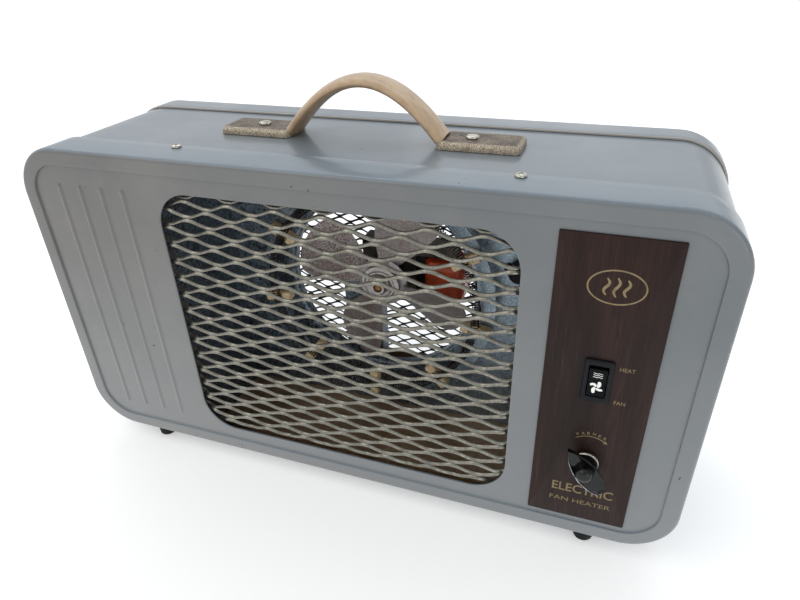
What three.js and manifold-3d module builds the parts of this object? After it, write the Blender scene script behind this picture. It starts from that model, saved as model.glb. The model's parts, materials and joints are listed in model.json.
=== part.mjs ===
// Fan convector heater in a pressed steel case with a carrying handle. Millimetres, +Z up, front towards -Y.
// The origin is on the floor under the middle of the heater's box, so the feet stand on z = 0.
// Every sub-part is built in the case's own frame: x = 0 in the middle, y = 0 on the front rim, z = 0 on
// the case's underside. One group then moves the whole heater to its place.
import * as THREE from 'three';
import { mergeVertices } from 'three/addons/utils/BufferGeometryUtils.js';
import Module from 'manifold-3d';

const wasm = await Module();
wasm.setup();

// case
const caseWidth = 480;
const caseHeight = 250;
const caseDepth = 150;
const cornerRadius = 36;
const edgeRadius = 3;
const sheet = 1.2;
const gap = 0.3;
const frontFlange = 31;
const rearFlange = 24;
const rimWidth = 12;
const panelStep = 1.5;
const bandStep = 1.8;
const bandOverlap = 8;
const lipDepth = 2;
const middleHeight = caseHeight / 2;
const footHeight = 13;
const footRadius = 7.5;
const footX = 183;
const footInset = 13;

// grille window, the same on the front and the rear
const windowWidth = 248;
const windowHeight = 204;
const windowRadius = 26;
const windowMargin = 7;
const grilleThickness = 1.8;

// ribs pressed into the front panel, to the left of the grille
const ribPitch = 18.4;
const ribCount = 4;
const firstRibX = -205.7;
const ribHeight = 200;
const ribWidth = 4;
const ribRise = 1;

// fascia with the controls
const fasciaWidth = 64.4;
const fasciaHeight = 215;
const fasciaX = 174.8;
const fasciaThickness = 1;
const fasciaBack = panelStep - gap;
const fasciaFront = fasciaBack - fasciaThickness;
const switchX = 174.6;
const switchZ = 137;
const bezelWidth = 17;
const bezelHeight = 31;
const bezelRise = 1.8;
const switchBodyWidth = 13.2;
const switchBodyHeight = 27.6;
const rockerWidth = 10.3;
const rockerPivotY = 3;
const knobX = 176;
const knobZ = 72.5;
const knobReach = 18;
const knobAngle = -49.5;
const spindleRadius = 3;

// fan, motor and heating element, all on one axis along Y through the middle of the case
const shroudY = 94;
const shroudRadius = 78;
const fanY = 97;
const bladeCount = 4;
const bladePitch = 26;
const bladeStart = 20;
const shaftRadius = 3;
const shaftFront = 87;
const shaftRear = 143;
const statorFront = 119;
const statorDepth = 16;
const rotorRadius = 12.6;
const coilRingRadius = 85;
const coilRadius = 4.2;
const coilY = 70;
const insulatorCount = 9;
const insulatorFirst = 28.8;
const legAngle = 48.8;
const insulatorLength = 23;
const insulatorWidth = 8;
const insulatorFront = 71;
const insulatorDepth = 9;

// carrying handle
const handleY = 82;
const capLength = 55;
const capDepth = 30;
const capHeight = 5;
const capInnerX = 54;
const archPeak = 287.5;
const archFlatness = 0.0118;
const archBlend = 1.5;
const gripReach = 53.5;
const coreReach = 96;
const coreWidth = 14;
const coreThickness = 1.6;
const bandTop = caseHeight - bandStep;

// cord inlet in the rear cover, and how far it stands behind the case
const inletX = 185;
const inletZ = 52;
const inletHoleRadius = 7.3;
const inletReach = 4;

const frontY = (knobReach - inletReach - caseDepth) / 2;

const greyPaint = { color: 0x8f8f8b, roughness: 0.42, metalness: 0.35 };
const bluePaint = { color: 0x7f8a90, roughness: 0.4, metalness: 0.35 };
const galvanised = { color: 0x8d99a3, roughness: 0.45, metalness: 0.8 };
const nickel = { color: 0xb5ac98, roughness: 0.35, metalness: 0.9 };
const walnut = { color: 0x4a332b, roughness: 0.45, metalness: 0 };
const blackPlastic = { color: 0x111216, roughness: 0.3, metalness: 0 };
const rubber = { color: 0x151515, roughness: 0.85, metalness: 0 };
const aluminium = { color: 0xa29c98, roughness: 0.5, metalness: 0.85 };
const darkSteel = { color: 0x4a4644, roughness: 0.5, metalness: 0.8 };
const brightSteel = { color: 0xc4c4c0, roughness: 0.3, metalness: 0.95 };
const copper = { color: 0xc24a1c, roughness: 0.3, metalness: 0.8 };
const bronze = { color: 0x8c6f49, roughness: 0.4, metalness: 0.85 };
const ceramic = { color: 0xc9b28c, roughness: 0.6, metalness: 0 };
const nichrome = { color: 0x2c2725, roughness: 0.6, metalness: 0.7 };
const vinyl = { color: 0xc29a6c, roughness: 0.5, metalness: 0 };

const heater = new THREE.Group();
const caseFrame = new THREE.Group();
caseFrame.position.set(0, frontY, footHeight);
heater.add(caseFrame);

// -------- shapes and solids --------

const degrees = (angle) => THREE.MathUtils.degToRad(angle);

// a solid for cutting and joining, from a closed geometry
const solidOf = (geometry) => {
  const bare = geometry.clone();
  bare.deleteAttribute('normal');
  bare.deleteAttribute('uv');
  const merged = mergeVertices(bare, 1e-5);
  const kept = [];
  const index = merged.index.array;
  for (let i = 0; i < index.length; i += 3) {
    const [a, b, c] = [index[i], index[i + 1], index[i + 2]];
    if (a !== b && b !== c && c !== a) kept.push(a, b, c);
  }
  const vertProperties = new Float32Array(merged.attributes.position.array);
  const triVerts = new Uint32Array(kept);
  return new wasm.Manifold(new wasm.Mesh({ numProp: 3, vertProperties, triVerts }));
};

const geometryOf = (solid) => {
  const { vertProperties, triVerts } = solid.getMesh();
  const geometry = new THREE.BufferGeometry();
  geometry.setAttribute('position', new THREE.BufferAttribute(vertProperties, 3));
  geometry.setIndex(new THREE.BufferAttribute(triVerts, 1));
  geometry.computeVertexNormals();
  return geometry;
};

const addPart = (name, shape, finish, parent = caseFrame) => {
  const geometry = shape.isBufferGeometry ? shape : geometryOf(shape);
  const mesh = new THREE.Mesh(geometry, new THREE.MeshStandardMaterial(finish));
  mesh.name = name;
  parent.add(mesh);
  return mesh;
};

// a rectangle with round corners, centred at (x, z) in the plane of the case's front
const roundedRectangle = (width, height, radius, x = 0, z = 0) => {
  const shape = new THREE.Shape();
  const right = x + width / 2 - radius;
  const left = x - width / 2 + radius;
  const top = z + height / 2 - radius;
  const bottom = z - height / 2 + radius;
  shape.absarc(right, top, radius, 0, Math.PI / 2);
  shape.absarc(left, top, radius, Math.PI / 2, Math.PI);
  shape.absarc(left, bottom, radius, Math.PI, Math.PI * 1.5);
  shape.absarc(right, bottom, radius, Math.PI * 1.5, Math.PI * 2);
  shape.closePath();
  return shape;
};

const circle = (radius, x = 0, z = 0) => new THREE.Shape().absarc(x, z, radius, 0, Math.PI * 2);

// a shape drawn in X and Z, carried along Y from front to front + depth, with its edges rounded by bevel
const slab = (shape, front, depth, { bevel = 0, rounds = 2, segments = 3 } = {}) => {
  const geometry = new THREE.ExtrudeGeometry(shape, {
    depth: depth - 2 * bevel,
    bevelEnabled: bevel > 0,
    bevelSize: bevel,
    bevelOffset: -bevel,
    bevelThickness: bevel,
    bevelSegments: rounds,
    curveSegments: segments,
  });
  geometry.rotateX(Math.PI / 2);
  geometry.translate(0, front + depth - bevel, 0);
  return geometry;
};

const box = (x, y, z, width, depth, height) => {
  const geometry = new THREE.BoxGeometry(width, depth, height);
  geometry.translate(x, y, z);
  return geometry;
};

// a round bar along Y from front to front + length
const bar = (radius, front, length, x, z, segments = 16) => {
  const geometry = new THREE.CylinderGeometry(radius, radius, length, segments);
  geometry.translate(x, front + length / 2, z);
  return geometry;
};

// a round bar along Z, for holes through the case's top and bottom
const post = (radius, bottom, length, x, y, segments = 8) => {
  const geometry = new THREE.CylinderGeometry(radius, radius, length, segments);
  geometry.rotateX(Math.PI / 2);
  geometry.translate(x, y, bottom + length / 2);
  return geometry;
};

const cut = (solid, ...tools) => tools.reduce((rest, tool) => rest.subtract(solidOf(tool)), solid);
const join = (solid, ...extras) => extras.reduce((all, extra) => all.add(solidOf(extra)), solid);

const caseOutline = (inset) => roundedRectangle(
  caseWidth - 2 * inset, caseHeight - 2 * inset, cornerRadius - inset, 0, middleHeight);
const windowOutline = (grow = 0) => roundedRectangle(
  windowWidth + 2 * grow, windowHeight + 2 * grow, windowRadius + grow, 0, middleHeight - 1);

// a profile of [radius, height] points turned about the Y axis
const turned = (profile, segments) => (
  new THREE.LatheGeometry(profile.map(([r, y]) => new THREE.Vector2(r, y)), segments));

// screw with a domed head, its axis along +Y and the head's underside at y = 0
const screw = (headRadius, headHeight, shankRadius, shankLength) => {
  const profile = [
    [0, -shankLength], [shankRadius, -shankLength], [shankRadius, 0], [headRadius, 0],
    [headRadius, headHeight * 0.3], [headRadius * 0.6, headHeight * 0.85], [0, headHeight],
  ];
  return turned(profile, 8);
};

// -------- case --------

const coverScrewX = 116.5;
const coverScrewY = 25.5;
const coverScrewHole = 2.2;
const rearScrewX = 205;
const rearScrewZ = [30, caseHeight - 30];

// a pan pressed from sheet, with rounded edges, a lip round its open side and a panel set back in its face
const pressedCover = (flange) => {
  const length = flange + 4 * edgeRadius;
  let cover = solidOf(slab(caseOutline(0), 0, length, { bevel: edgeRadius }));
  cover = cut(
    cover,
    slab(caseOutline(sheet), sheet, length, { bevel: edgeRadius - sheet }),
    box(0, flange + length / 2, middleHeight, caseWidth + 10, length, caseHeight + 10),
  );
  const lip = cut(
    solidOf(slab(caseOutline(0.2), flange - lipDepth, lipDepth)),
    slab(caseOutline(bandStep - gap), flange - lipDepth - 1, lipDepth + 2),
  );
  cover = join(cover.add(lip), slab(caseOutline(rimWidth - sheet), sheet / 2, panelStep + sheet / 2));
  return cut(cover, slab(caseOutline(rimWidth), -1, panelStep + 1), slab(windowOutline(), -1, 10));
};

const frontCover = () => {
  let cover = pressedCover(frontFlange);
  for (let i = 0; i < ribCount; i += 1) {
    const outline = roundedRectangle(
      ribWidth, ribHeight, ribWidth / 2 - 0.01, firstRibX + i * ribPitch, middleHeight);
    cover = join(cover, slab(outline, panelStep - ribRise, ribRise + sheet / 2, { segments: 3 }));
  }
  for (const x of [-coverScrewX, coverScrewX]) {
    cover = cut(cover, post(coverScrewHole, -5, caseHeight + 10, x, coverScrewY));
  }
  return cut(
    cover,
    box(switchX, 0, switchZ, switchBodyWidth + 0.8, 12, switchBodyHeight + 0.8),
    bar(4.9, -6, 12, knobX, knobZ),
  );
};

const rearCover = () => {
  const holes = rearScrewZ.flatMap((z) => [-rearScrewX, rearScrewX].map((x) => bar(2.2, -6, 12, x, z, 8)));
  return cut(pressedCover(rearFlange), ...holes, bar(inletHoleRadius, -6, 12, -inletX, inletZ));
};

// the sheet band between the two covers, reaching under both flanges
const bandFront = frontFlange - bandOverlap;
const bandDepth = caseDepth - frontFlange - rearFlange + 2 * bandOverlap;
const handleScrewX = [-80, 75];

const caseBand = () => {
  const ring = cut(
    solidOf(slab(caseOutline(bandStep), bandFront, bandDepth)),
    slab(caseOutline(bandStep + sheet), bandFront - 1, bandDepth + 2),
  );
  const screwHoles = [-coverScrewX, coverScrewX].map((x) => (
    post(coverScrewHole, -5, caseHeight + 10, x, coverScrewY)));
  const handleHoles = handleScrewX.map((x) => post(2.3, bandTop - 5, 10, x, handleY));
  return cut(ring, ...screwHoles, ...handleHoles);
};

const foot = () => {
  const profile = [
    [0, 0], [footRadius - 1.4, 0], [footRadius - 0.6, 1], [footRadius, footHeight - 2],
    [footRadius, footHeight - gap], [0, footHeight - gap],
  ];
  return turned(profile, 12).rotateX(Math.PI / 2);
};

addPart('front_cover', frontCover(), greyPaint);
const rear = addPart('rear_cover', rearCover(), bluePaint);
rear.rotation.z = Math.PI;
rear.position.y = caseDepth;
addPart('casing_band', caseBand(), bluePaint);

for (const [side, x] of [['left', -footX], ['right', footX]]) {
  for (const [end, y] of [['front', footInset], ['rear', caseDepth - footInset]]) {
    addPart(`foot_${end}_${side}`, foot(), rubber).position.set(x, y, -footHeight);
  }
  const screwX = Math.sign(x) * coverScrewX;
  const topScrew = addPart(`cover_screw_top_${side}`, screw(3.6, 1.9, 1.8, 7), brightSteel);
  topScrew.rotation.x = Math.PI / 2;
  topScrew.position.set(screwX, coverScrewY, caseHeight + gap);
  const bottomScrew = addPart(`cover_screw_bottom_${side}`, screw(3.6, 1.9, 1.8, 7), brightSteel);
  bottomScrew.rotation.x = -Math.PI / 2;
  bottomScrew.position.set(screwX, coverScrewY, -gap);
  for (const [level, z] of [['lower', rearScrewZ[0]], ['upper', rearScrewZ[1]]]) {
    const rearScrew = addPart(`rear_screw_${level}_${side}`, screw(3.6, 1.9, 1.8, 7), brightSteel);
    rearScrew.position.set(Math.sign(x) * rearScrewX, caseDepth - panelStep + gap, z);
  }
}

// -------- grilles --------

// expanded metal: diamond openings in staggered rows, cut through a sheet inside the window's outline
const expandedMetal = (cellWidth, cellHeight, strand, front) => {
  const slope = Math.atan2(cellHeight, cellWidth);
  const halfHeight = (cellHeight - strand / Math.cos(slope)) / 2;
  const halfWidth = halfHeight * cellWidth / cellHeight;
  const columns = Math.ceil(windowWidth / cellWidth) + 1;
  const rows = Math.ceil(windowHeight / cellHeight) + 1;
  const diamonds = [];
  for (let row = -rows; row <= rows; row += 1) {
    for (let column = -columns; column <= columns; column += 1) {
      if ((row + column) % 2 !== 0) continue;
      const x = column * cellWidth / 2;
      const z = middleHeight - 1 + row * cellHeight / 2;
      const diamond = [[x - halfWidth, z], [x, z - halfHeight], [x + halfWidth, z], [x, z + halfHeight]];
      diamonds.push(new THREE.Shape(diamond.map(([px, pz]) => new THREE.Vector2(px, pz))));
    }
  }
  const openings = solidOf(slab(diamonds, front - 1, grilleThickness + 2))
    .intersect(solidOf(slab(windowOutline(), front - 2, grilleThickness + 4, { segments: 5 })));
  return solidOf(slab(windowOutline(windowMargin), front, grilleThickness)).subtract(openings);
};

const grilleFront = panelStep + sheet + gap;
addPart('front_grille', expandedMetal(34.2, 13.7, 3, grilleFront), nickel);
const rearGrille = addPart('rear_grille', expandedMetal(82, 37, 7, grilleFront), darkSteel);
rearGrille.rotation.z = Math.PI;
rearGrille.position.y = caseDepth;

// -------- controls --------

const controlFascia = () => cut(
  solidOf(slab(roundedRectangle(fasciaWidth, fasciaHeight, 0.8, fasciaX, middleHeight - 1),
    fasciaFront, fasciaThickness, { segments: 2 })),
  box(switchX, 0, switchZ, switchBodyWidth + 0.8, 8, switchBodyHeight + 0.8),
  bar(4.9, -6, 12, knobX, knobZ),
);

// rocker switch: bezel on the fascia, body behind it, and a pocket that the rocker turns in
const switchBody = () => {
  const bezelBack = fasciaFront - gap;
  const bezel = solidOf(slab(roundedRectangle(bezelWidth, bezelHeight, 1.5, switchX, switchZ),
    bezelBack - bezelRise, bezelRise, { segments: 3 }));
  const bodyDepth = 24;
  return cut(
    join(bezel, box(switchX, bezelBack + bodyDepth / 2 - 0.5, switchZ,
      switchBodyWidth, bodyDepth, switchBodyHeight)),
    box(switchX, rockerPivotY, switchZ, rockerWidth + 0.8, 16, 22.8),
  );
};

// rocker seen from the side: a shallow V in front, a rounded keel behind, turning about its own X axis
const rocker = () => {
  const side = new THREE.Shape([
    [-5.9, 9.9], [-5.1, 0], [-5.9, -9.9], [-1, -9.7], [4, -5], [5.2, 0], [4, 5], [-1, 9.7],
  ].map(([y, z]) => new THREE.Vector2(y, z)));
  const geometry = new THREE.ExtrudeGeometry(side, { depth: rockerWidth, bevelEnabled: false });
  geometry.translate(0, 0, -rockerWidth / 2);
  geometry.rotateX(Math.PI / 2);
  geometry.rotateZ(Math.PI / 2);
  return geometry;
};

const thermostatBody = () => {
  const front = panelStep + sheet + gap;
  return cut(
    join(solidOf(box(knobX, front + 11, knobZ, 34, 22, 30)), bar(4.5, -0.8, front + 2, knobX, knobZ)),
    bar(spindleRadius + 0.4, -6, 24, knobX, knobZ),
  );
};

// knob: a round boss with a leaf-shaped wing across its front, drawn about its own axis
const knob = () => {
  const wing = new THREE.Shape();
  wing.moveTo(-19, 1);
  wing.quadraticCurveTo(-9, -7, 4, -7);
  wing.quadraticCurveTo(15, -6, 19, -3);
  wing.quadraticCurveTo(20.5, 0, 19, 3);
  wing.quadraticCurveTo(14, 7, 3, 7);
  wing.quadraticCurveTo(-10, 7, -19, 1);
  return cut(
    join(
      solidOf(bar(8, -knobReach + 2, knobReach - 3.6, 0, 0, 20)),
      slab(wing, -knobReach, 9.5, { bevel: 1.2, segments: 4 }),
    ),
    bar(spindleRadius + gap, -knobReach + 5, 20, 0, 0, 12),
  );
};

addPart('control_fascia', controlFascia(), walnut);
addPart('switch_body', switchBody(), blackPlastic);
addPart('switch_rocker', rocker(), blackPlastic).position.set(switchX, rockerPivotY, switchZ);
addPart('thermostat_body', thermostatBody(), ceramic);
addPart('thermostat_spindle', bar(spindleRadius, -knobReach + 5.5, 30, knobX, knobZ, 12), brightSteel);
const knobMesh = addPart('thermostat_knob', knob(), blackPlastic);
knobMesh.position.set(knobX, 0, knobZ);
knobMesh.rotation.y = -degrees(knobAngle);

// -------- air path --------

const insideFloor = bandStep + sheet + gap;
const insideHeight = caseHeight - 2 * insideFloor;

// shroud: a plate across the case with a short throat round the fan
const fanShroud = () => cut(
  join(
    solidOf(box(0, shroudY + sheet / 2, middleHeight, 264, sheet, insideHeight)),
    bar(shroudRadius + sheet, shroudY, 9, 0, middleHeight, 40),
  ),
  bar(shroudRadius, shroudY - 5, 20, 0, middleHeight, 40),
);

const baffle = (x) => box(x, 56, middleHeight, sheet, 102, insideHeight);

addPart('fan_shroud', fanShroud(), galvanised);
addPart('left_baffle', baffle(-132 - gap - sheet / 2), galvanised);
addPart('right_baffle', baffle(132 + gap + sheet / 2), galvanised);

// -------- fan --------

// one paddle: wide and round at the tip, narrow at the hub, turned about its own length by the pitch
const bladePaddle = () => {
  const outline = new THREE.Shape();
  outline.moveTo(18, -8);
  outline.quadraticCurveTo(32, -22, 50, -29);
  outline.quadraticCurveTo(69, -32, 73, -10);
  outline.quadraticCurveTo(76, 8, 66, 20);
  outline.quadraticCurveTo(52, 24, 34, 16);
  outline.quadraticCurveTo(24, 11, 18, 8);
  const geometry = new THREE.ExtrudeGeometry(outline, { depth: 1.4, bevelEnabled: false, curveSegments: 3 });
  geometry.translate(0, 0, -0.7);
  geometry.rotateX(Math.PI / 2 + degrees(bladePitch));
  return geometry;
};

const fanBlades = () => {
  let fan = solidOf(bar(21, -0.8, 1.6, 0, 0, 20));
  for (let i = 0; i < bladeCount; i += 1) {
    fan = join(fan, bladePaddle().rotateY(degrees(bladeStart + i * 360 / bladeCount)));
  }
  return cut(fan, bar(7.3, -20, 40, 0, 0));
};

// hub: a boss on the shaft with a ringed flange that clamps the blades from the front
const fanHub = () => {
  const profile = [
    [3.3, 86], [6, 86], [6.9, 88], [6.9, 92], [12, 91], [13.5, 92], [16.5, 92], [16.5, 95.4], [6.9, 95.4],
    [6.9, 104], [3.3, 104], [3.3, 86],
  ];
  return turned(profile, 16);
};

const fanAxis = new THREE.Group();
fanAxis.position.set(0, 0, middleHeight);
caseFrame.add(fanAxis);
addPart('fan_blades', fanBlades(), aluminium, fanAxis).position.y = fanY;
addPart('fan_hub', fanHub(), aluminium, fanAxis);
addPart('motor_shaft', bar(shaftRadius, shaftFront, shaftRear - shaftFront, 0, 0, 12), brightSteel, fanAxis);

// -------- motor --------

const coilLegX = 48;
const coilLegWidth = 16;
const boltZ = 22;

// stack of laminations: a frame round the rotor, with a leg on the right that the coil sits on
const motorStator = () => {
  const outline = roundedRectangle(81, 56, 2, 15.5, 0);
  return cut(
    solidOf(slab(outline, statorFront, statorDepth, { segments: 2 })),
    bar(rotorRadius + 0.5, statorFront - 5, 30, 0, 0, 24),
    box(31, statorFront, 0, 18, 60, 34),
    ...[-boltZ, boltZ].map((z) => bar(2, statorFront - 5, 30, 0, z, 8)),
  );
};

const motorCoil = () => {
  const wall = 9;
  const outer = new THREE.ExtrudeGeometry(
    roundedRectangle(coilLegWidth + 2 * (gap + wall), statorDepth + 2 * (gap + wall) - 2, 6),
    { depth: 33, bevelEnabled: false, curveSegments: 2 });
  outer.translate(coilLegX, statorFront + statorDepth / 2, -16.5);
  return cut(solidOf(outer),
    box(coilLegX, statorFront + statorDepth / 2, 0, coilLegWidth + 2 * gap, statorDepth + 2 * gap, 40));
};

// end bracket: a strap bent into a shallow U, with a round housing for the bearing in its middle
const endBracket = () => {
  const rise = 7;
  const reach = 25;
  const side = new THREE.Shape([
    [0, -reach], [-1.5, -reach], [-1.5, -reach + 6], [-rise, -15], [-rise, 15], [-1.5, reach - 6],
    [-1.5, reach], [0, reach], [0, reach - 6.5], [-rise + 1.5, 14], [-rise + 1.5, -14], [0, -reach + 6.5],
  ].map(([y, z]) => new THREE.Vector2(y, z)));
  const strap = new THREE.ExtrudeGeometry(side, { depth: 18, bevelEnabled: false });
  strap.translate(0, 0, -9);
  strap.rotateX(Math.PI / 2);
  strap.rotateZ(Math.PI / 2);
  return cut(
    join(solidOf(strap), bar(8, -rise - 4, 8, 0, 0)),
    bar(6.3, -20, 40, 0, 0, 12),
    ...[-boltZ, boltZ].map((z) => bar(2, -5, 10, 0, z, 8)),
  );
};

const bearing = () => {
  const profile = [[shaftRadius + gap, 0], [6, 0], [6, 7], [shaftRadius + gap, 7], [shaftRadius + gap, 0]];
  return turned(profile, 12);
};

const rotor = () => {
  const front = statorFront;
  const inner = shaftRadius + gap;
  const profile = [
    [inner, front], [rotorRadius, front], [rotorRadius, front + statorDepth], [inner, front + statorDepth],
    [inner, front],
  ];
  return turned(profile, 20);
};

addPart('motor_rotor', rotor(), darkSteel, fanAxis);
addPart('motor_stator', motorStator(), darkSteel, fanAxis);
addPart('motor_coil', motorCoil(), copper, fanAxis);
const bracketGap = statorFront - gap;
addPart('motor_bracket_front', endBracket(), aluminium, fanAxis).position.y = bracketGap;
const rearBracket = addPart('motor_bracket_rear', endBracket(), aluminium, fanAxis);
rearBracket.rotation.z = Math.PI;
rearBracket.position.y = statorFront + statorDepth + gap;
addPart('bearing_front', bearing(), bronze, fanAxis).position.y = bracketGap - 10.5;
addPart('bearing_rear', bearing(), bronze, fanAxis).position.y = statorFront + statorDepth + gap + 3.5;
for (const [level, z] of [['lower', -boltZ], ['upper', boltZ]]) {
  const bolt = addPart(`motor_bolt_${level}`, screw(2.8, 1.8, 1.7, 24), brightSteel, fanAxis);
  bolt.rotation.z = Math.PI;
  bolt.position.set(0, bracketGap - 1.5 - gap, z);
}

// channel that carries the motor: an upright with two side flanges and a foot on the case's floor
const motorMount = () => {
  const width = 34;
  const x = -27;
  const front = statorFront - 1.5 - gap;
  const bottom = insideFloor;
  const top = middleHeight - 15;
  const underStator = middleHeight - 28 - gap;
  const flange = (side) => box(x + side * (width / 2 - sheet / 2), front + 7, (bottom + underStator) / 2,
    sheet, 14, underStator - bottom);
  return join(
    solidOf(box(x, front + sheet / 2, (bottom + top) / 2, width, sheet, top - bottom)),
    flange(-1), flange(1), box(x, front - 8, bottom + sheet / 2, width, 18, sheet),
  );
};

addPart('motor_mount', motorMount(), galvanised);

// -------- heating element --------

const elementAngles = Array.from({ length: insulatorCount }, (_, i) => (
  insulatorFirst + i * 360 / insulatorCount));

const elementRing = () => {
  const outline = circle(98);
  outline.holes.push(circle(88));
  const front = insulatorFront + insulatorDepth + gap;
  const legs = [0, 1, 2].map((i) => box(96, (front + shroudY - gap) / 2, 0, 3, shroudY - gap - front, 12)
    .rotateY(-degrees(legAngle + i * 120)));
  return join(solidOf(slab(outline, front, sheet, { segments: 16 })), ...legs);
};

const heatingCoil = () => new THREE.TorusGeometry(coilRingRadius, coilRadius, 6, 36)
  .rotateX(Math.PI / 2)
  .translate(0, coilY, 0);

const insulator = () => {
  const rod = solidOf(box(coilRingRadius + 0.5, insulatorFront + insulatorDepth / 2, 0,
    insulatorLength, insulatorDepth, insulatorWidth));
  return cut(rod, post(coilRadius + 0.5, -10, 20, coilRingRadius, coilY, 10));
};

const elementAxis = new THREE.Group();
elementAxis.position.set(0, 0, middleHeight);
caseFrame.add(elementAxis);
addPart('element_ring', elementRing(), galvanised, elementAxis);
addPart('heating_coil', heatingCoil(), nichrome, elementAxis);
elementAngles.forEach((angle, i) => {
  addPart(`insulator_${i + 1}`, insulator(), ceramic, elementAxis).rotation.y = -degrees(angle);
});

// terminal bush on the shroud, cut-out beside it, and the block for the supply wires
const bushRadius = 6.5;
const bushHoleRadius = 2.2;
const bushLength = 4;
const bushX = 89;
const bushZ = middleHeight - 18;
const cutoutRadius = 8;
const cutoutLength = 9;
const cutoutX = 112;
const cutoutZ = middleHeight + 30;

const terminalBush = () => cut(
  solidOf(bar(bushRadius, shroudY - bushLength - gap, bushLength, bushX, bushZ, 14)),
  bar(bushHoleRadius, shroudY - 20, 30, bushX, bushZ, 8),
);
const thermalCutout = () => join(
  solidOf(bar(cutoutRadius, shroudY - cutoutLength - gap, cutoutLength, cutoutX, cutoutZ, 16)),
  box(cutoutX, shroudY - 1 - gap, cutoutZ, 3 * cutoutRadius, 2, cutoutRadius),
);

addPart('terminal_bush', terminalBush(), ceramic);
addPart('thermal_cutout', thermalCutout(), blackPlastic);
addPart('terminal_block', box(185, 104, insideFloor + 7, 40, 16, 14), ceramic);

// -------- cord inlet --------

// bush with a groove that grips the edge of the rear cover's hole
const cordInlet = () => {
  const face = caseDepth - panelStep;
  const profile = [
    [4, face - 6], [8.6, face - 6], [9.2, face - sheet - gap], [7, face - sheet - gap], [7, face + gap],
    [10, face + gap], [10, face + 2.2], [8, caseDepth + inletReach], [4, caseDepth + inletReach],
    [4, face - 6],
  ];
  return turned(profile, 16);
};

addPart('cord_inlet', cordInlet(), rubber).position.set(inletX, 0, inletZ);

// -------- handle --------

// centre line of the grip: an arch that runs out flat into both end caps, the higher of the two blended
class HandleLine extends THREE.Curve {
  constructor(reach) {
    super();
    this.reach = reach;
  }

  getPoint(t, target = new THREE.Vector3()) {
    const x = this.reach * (2 * t - 1);
    const flat = bandTop + 2.4;
    const arch = archPeak - archFlatness * x * x;
    const z = flat + archBlend * Math.log(1 + Math.exp((arch - flat) / archBlend));
    return target.set(x, handleY, z);
  }

  // a section's first direction stays along Y, so the strip never twists
  computeFrenetFrames(segments) {
    const tangents = Array.from({ length: segments + 1 }, (_, i) => this.getTangentAt(i / segments));
    const normals = tangents.map(() => new THREE.Vector3(0, 1, 0));
    const binormals = tangents.map((tangent) => new THREE.Vector3().crossVectors(tangent, normals[0]));
    return { tangents, normals, binormals };
  }
}

const oval = (width, thickness) => {
  const shape = new THREE.Shape();
  shape.absellipse(0, 0, width / 2, thickness / 2, 0, Math.PI * 2);
  return shape;
};

// the corners of a flat section that reaches w to each side and h above and below its middle
const corners = (w, h) => [[-w, -h], [w, -h], [w, h], [-w, h]].map(([x, y]) => new THREE.Vector2(x, y));

const handleGrip = () => {
  const section = oval(25, 8.5);
  const slot = 0.4;
  const w = coreWidth / 2 + slot;
  const h = coreThickness / 2 + slot;
  section.holes.push(new THREE.Path(corners(w, h).reverse()));
  return new THREE.ExtrudeGeometry(section, {
    steps: 18, curveSegments: 5, extrudePath: new HandleLine(gripReach),
  });
};

const handleCore = () => {
  const w = coreWidth / 2;
  const h = coreThickness / 2;
  const strip = solidOf(new THREE.ExtrudeGeometry(new THREE.Shape(corners(w, h)), {
    steps: 44, extrudePath: new HandleLine(coreReach),
  }));
  return cut(strip, ...handleScrewX.map((x) => post(2.3, bandTop - 5, 12, x, handleY)));
};

// end cap: a pressed cover over the end of the core, open below and slotted where the core comes out
const handleCap = (side, screwX) => {
  const outline = (inset) => roundedRectangle(capLength - 2 * inset, capDepth - 2 * inset, 4 - inset,
    side * (capInnerX + capLength / 2), -handleY);
  const bevelled = (bevel) => ({ bevel, rounds: 1, segments: 1 });
  const shell = (inset, bottom, height, bevel) => slab(outline(inset), 0, height * 2, bevelled(bevel))
    .translate(0, -height, 0)
    .rotateX(Math.PI / 2)
    .translate(0, 0, bottom);
  const bottom = bandTop + gap;
  return cut(
    solidOf(shell(0, bottom, capHeight, 2)),
    shell(1, bottom, capHeight - 1, 1.6),
    box(0, handleY, bottom - 10, 600, 100, 20),
    box(side * (capInnerX + 1), handleY, bottom, 9, coreWidth + 1.6, 30),
    post(2.3, bandTop - 5, 20, screwX, handleY),
  );
};

addPart('handle_grip', handleGrip(), vinyl);
addPart('handle_core', handleCore(), darkSteel);
for (const [name, side, screwX] of [['left', -1, handleScrewX[0]], ['right', 1, handleScrewX[1]]]) {
  addPart(`handle_cap_${name}`, handleCap(side, screwX), bronze);
  const capScrew = addPart(`handle_screw_${name}`, screw(4.4, 1.8, 2, 9), brightSteel);
  capScrew.rotation.x = Math.PI / 2;
  capScrew.position.set(screwX, handleY, bandTop + capHeight + 2 * gap);
}

export default heater;
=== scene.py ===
import json
import math

import bpy
import numpy as np
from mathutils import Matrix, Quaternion, Vector


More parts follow.
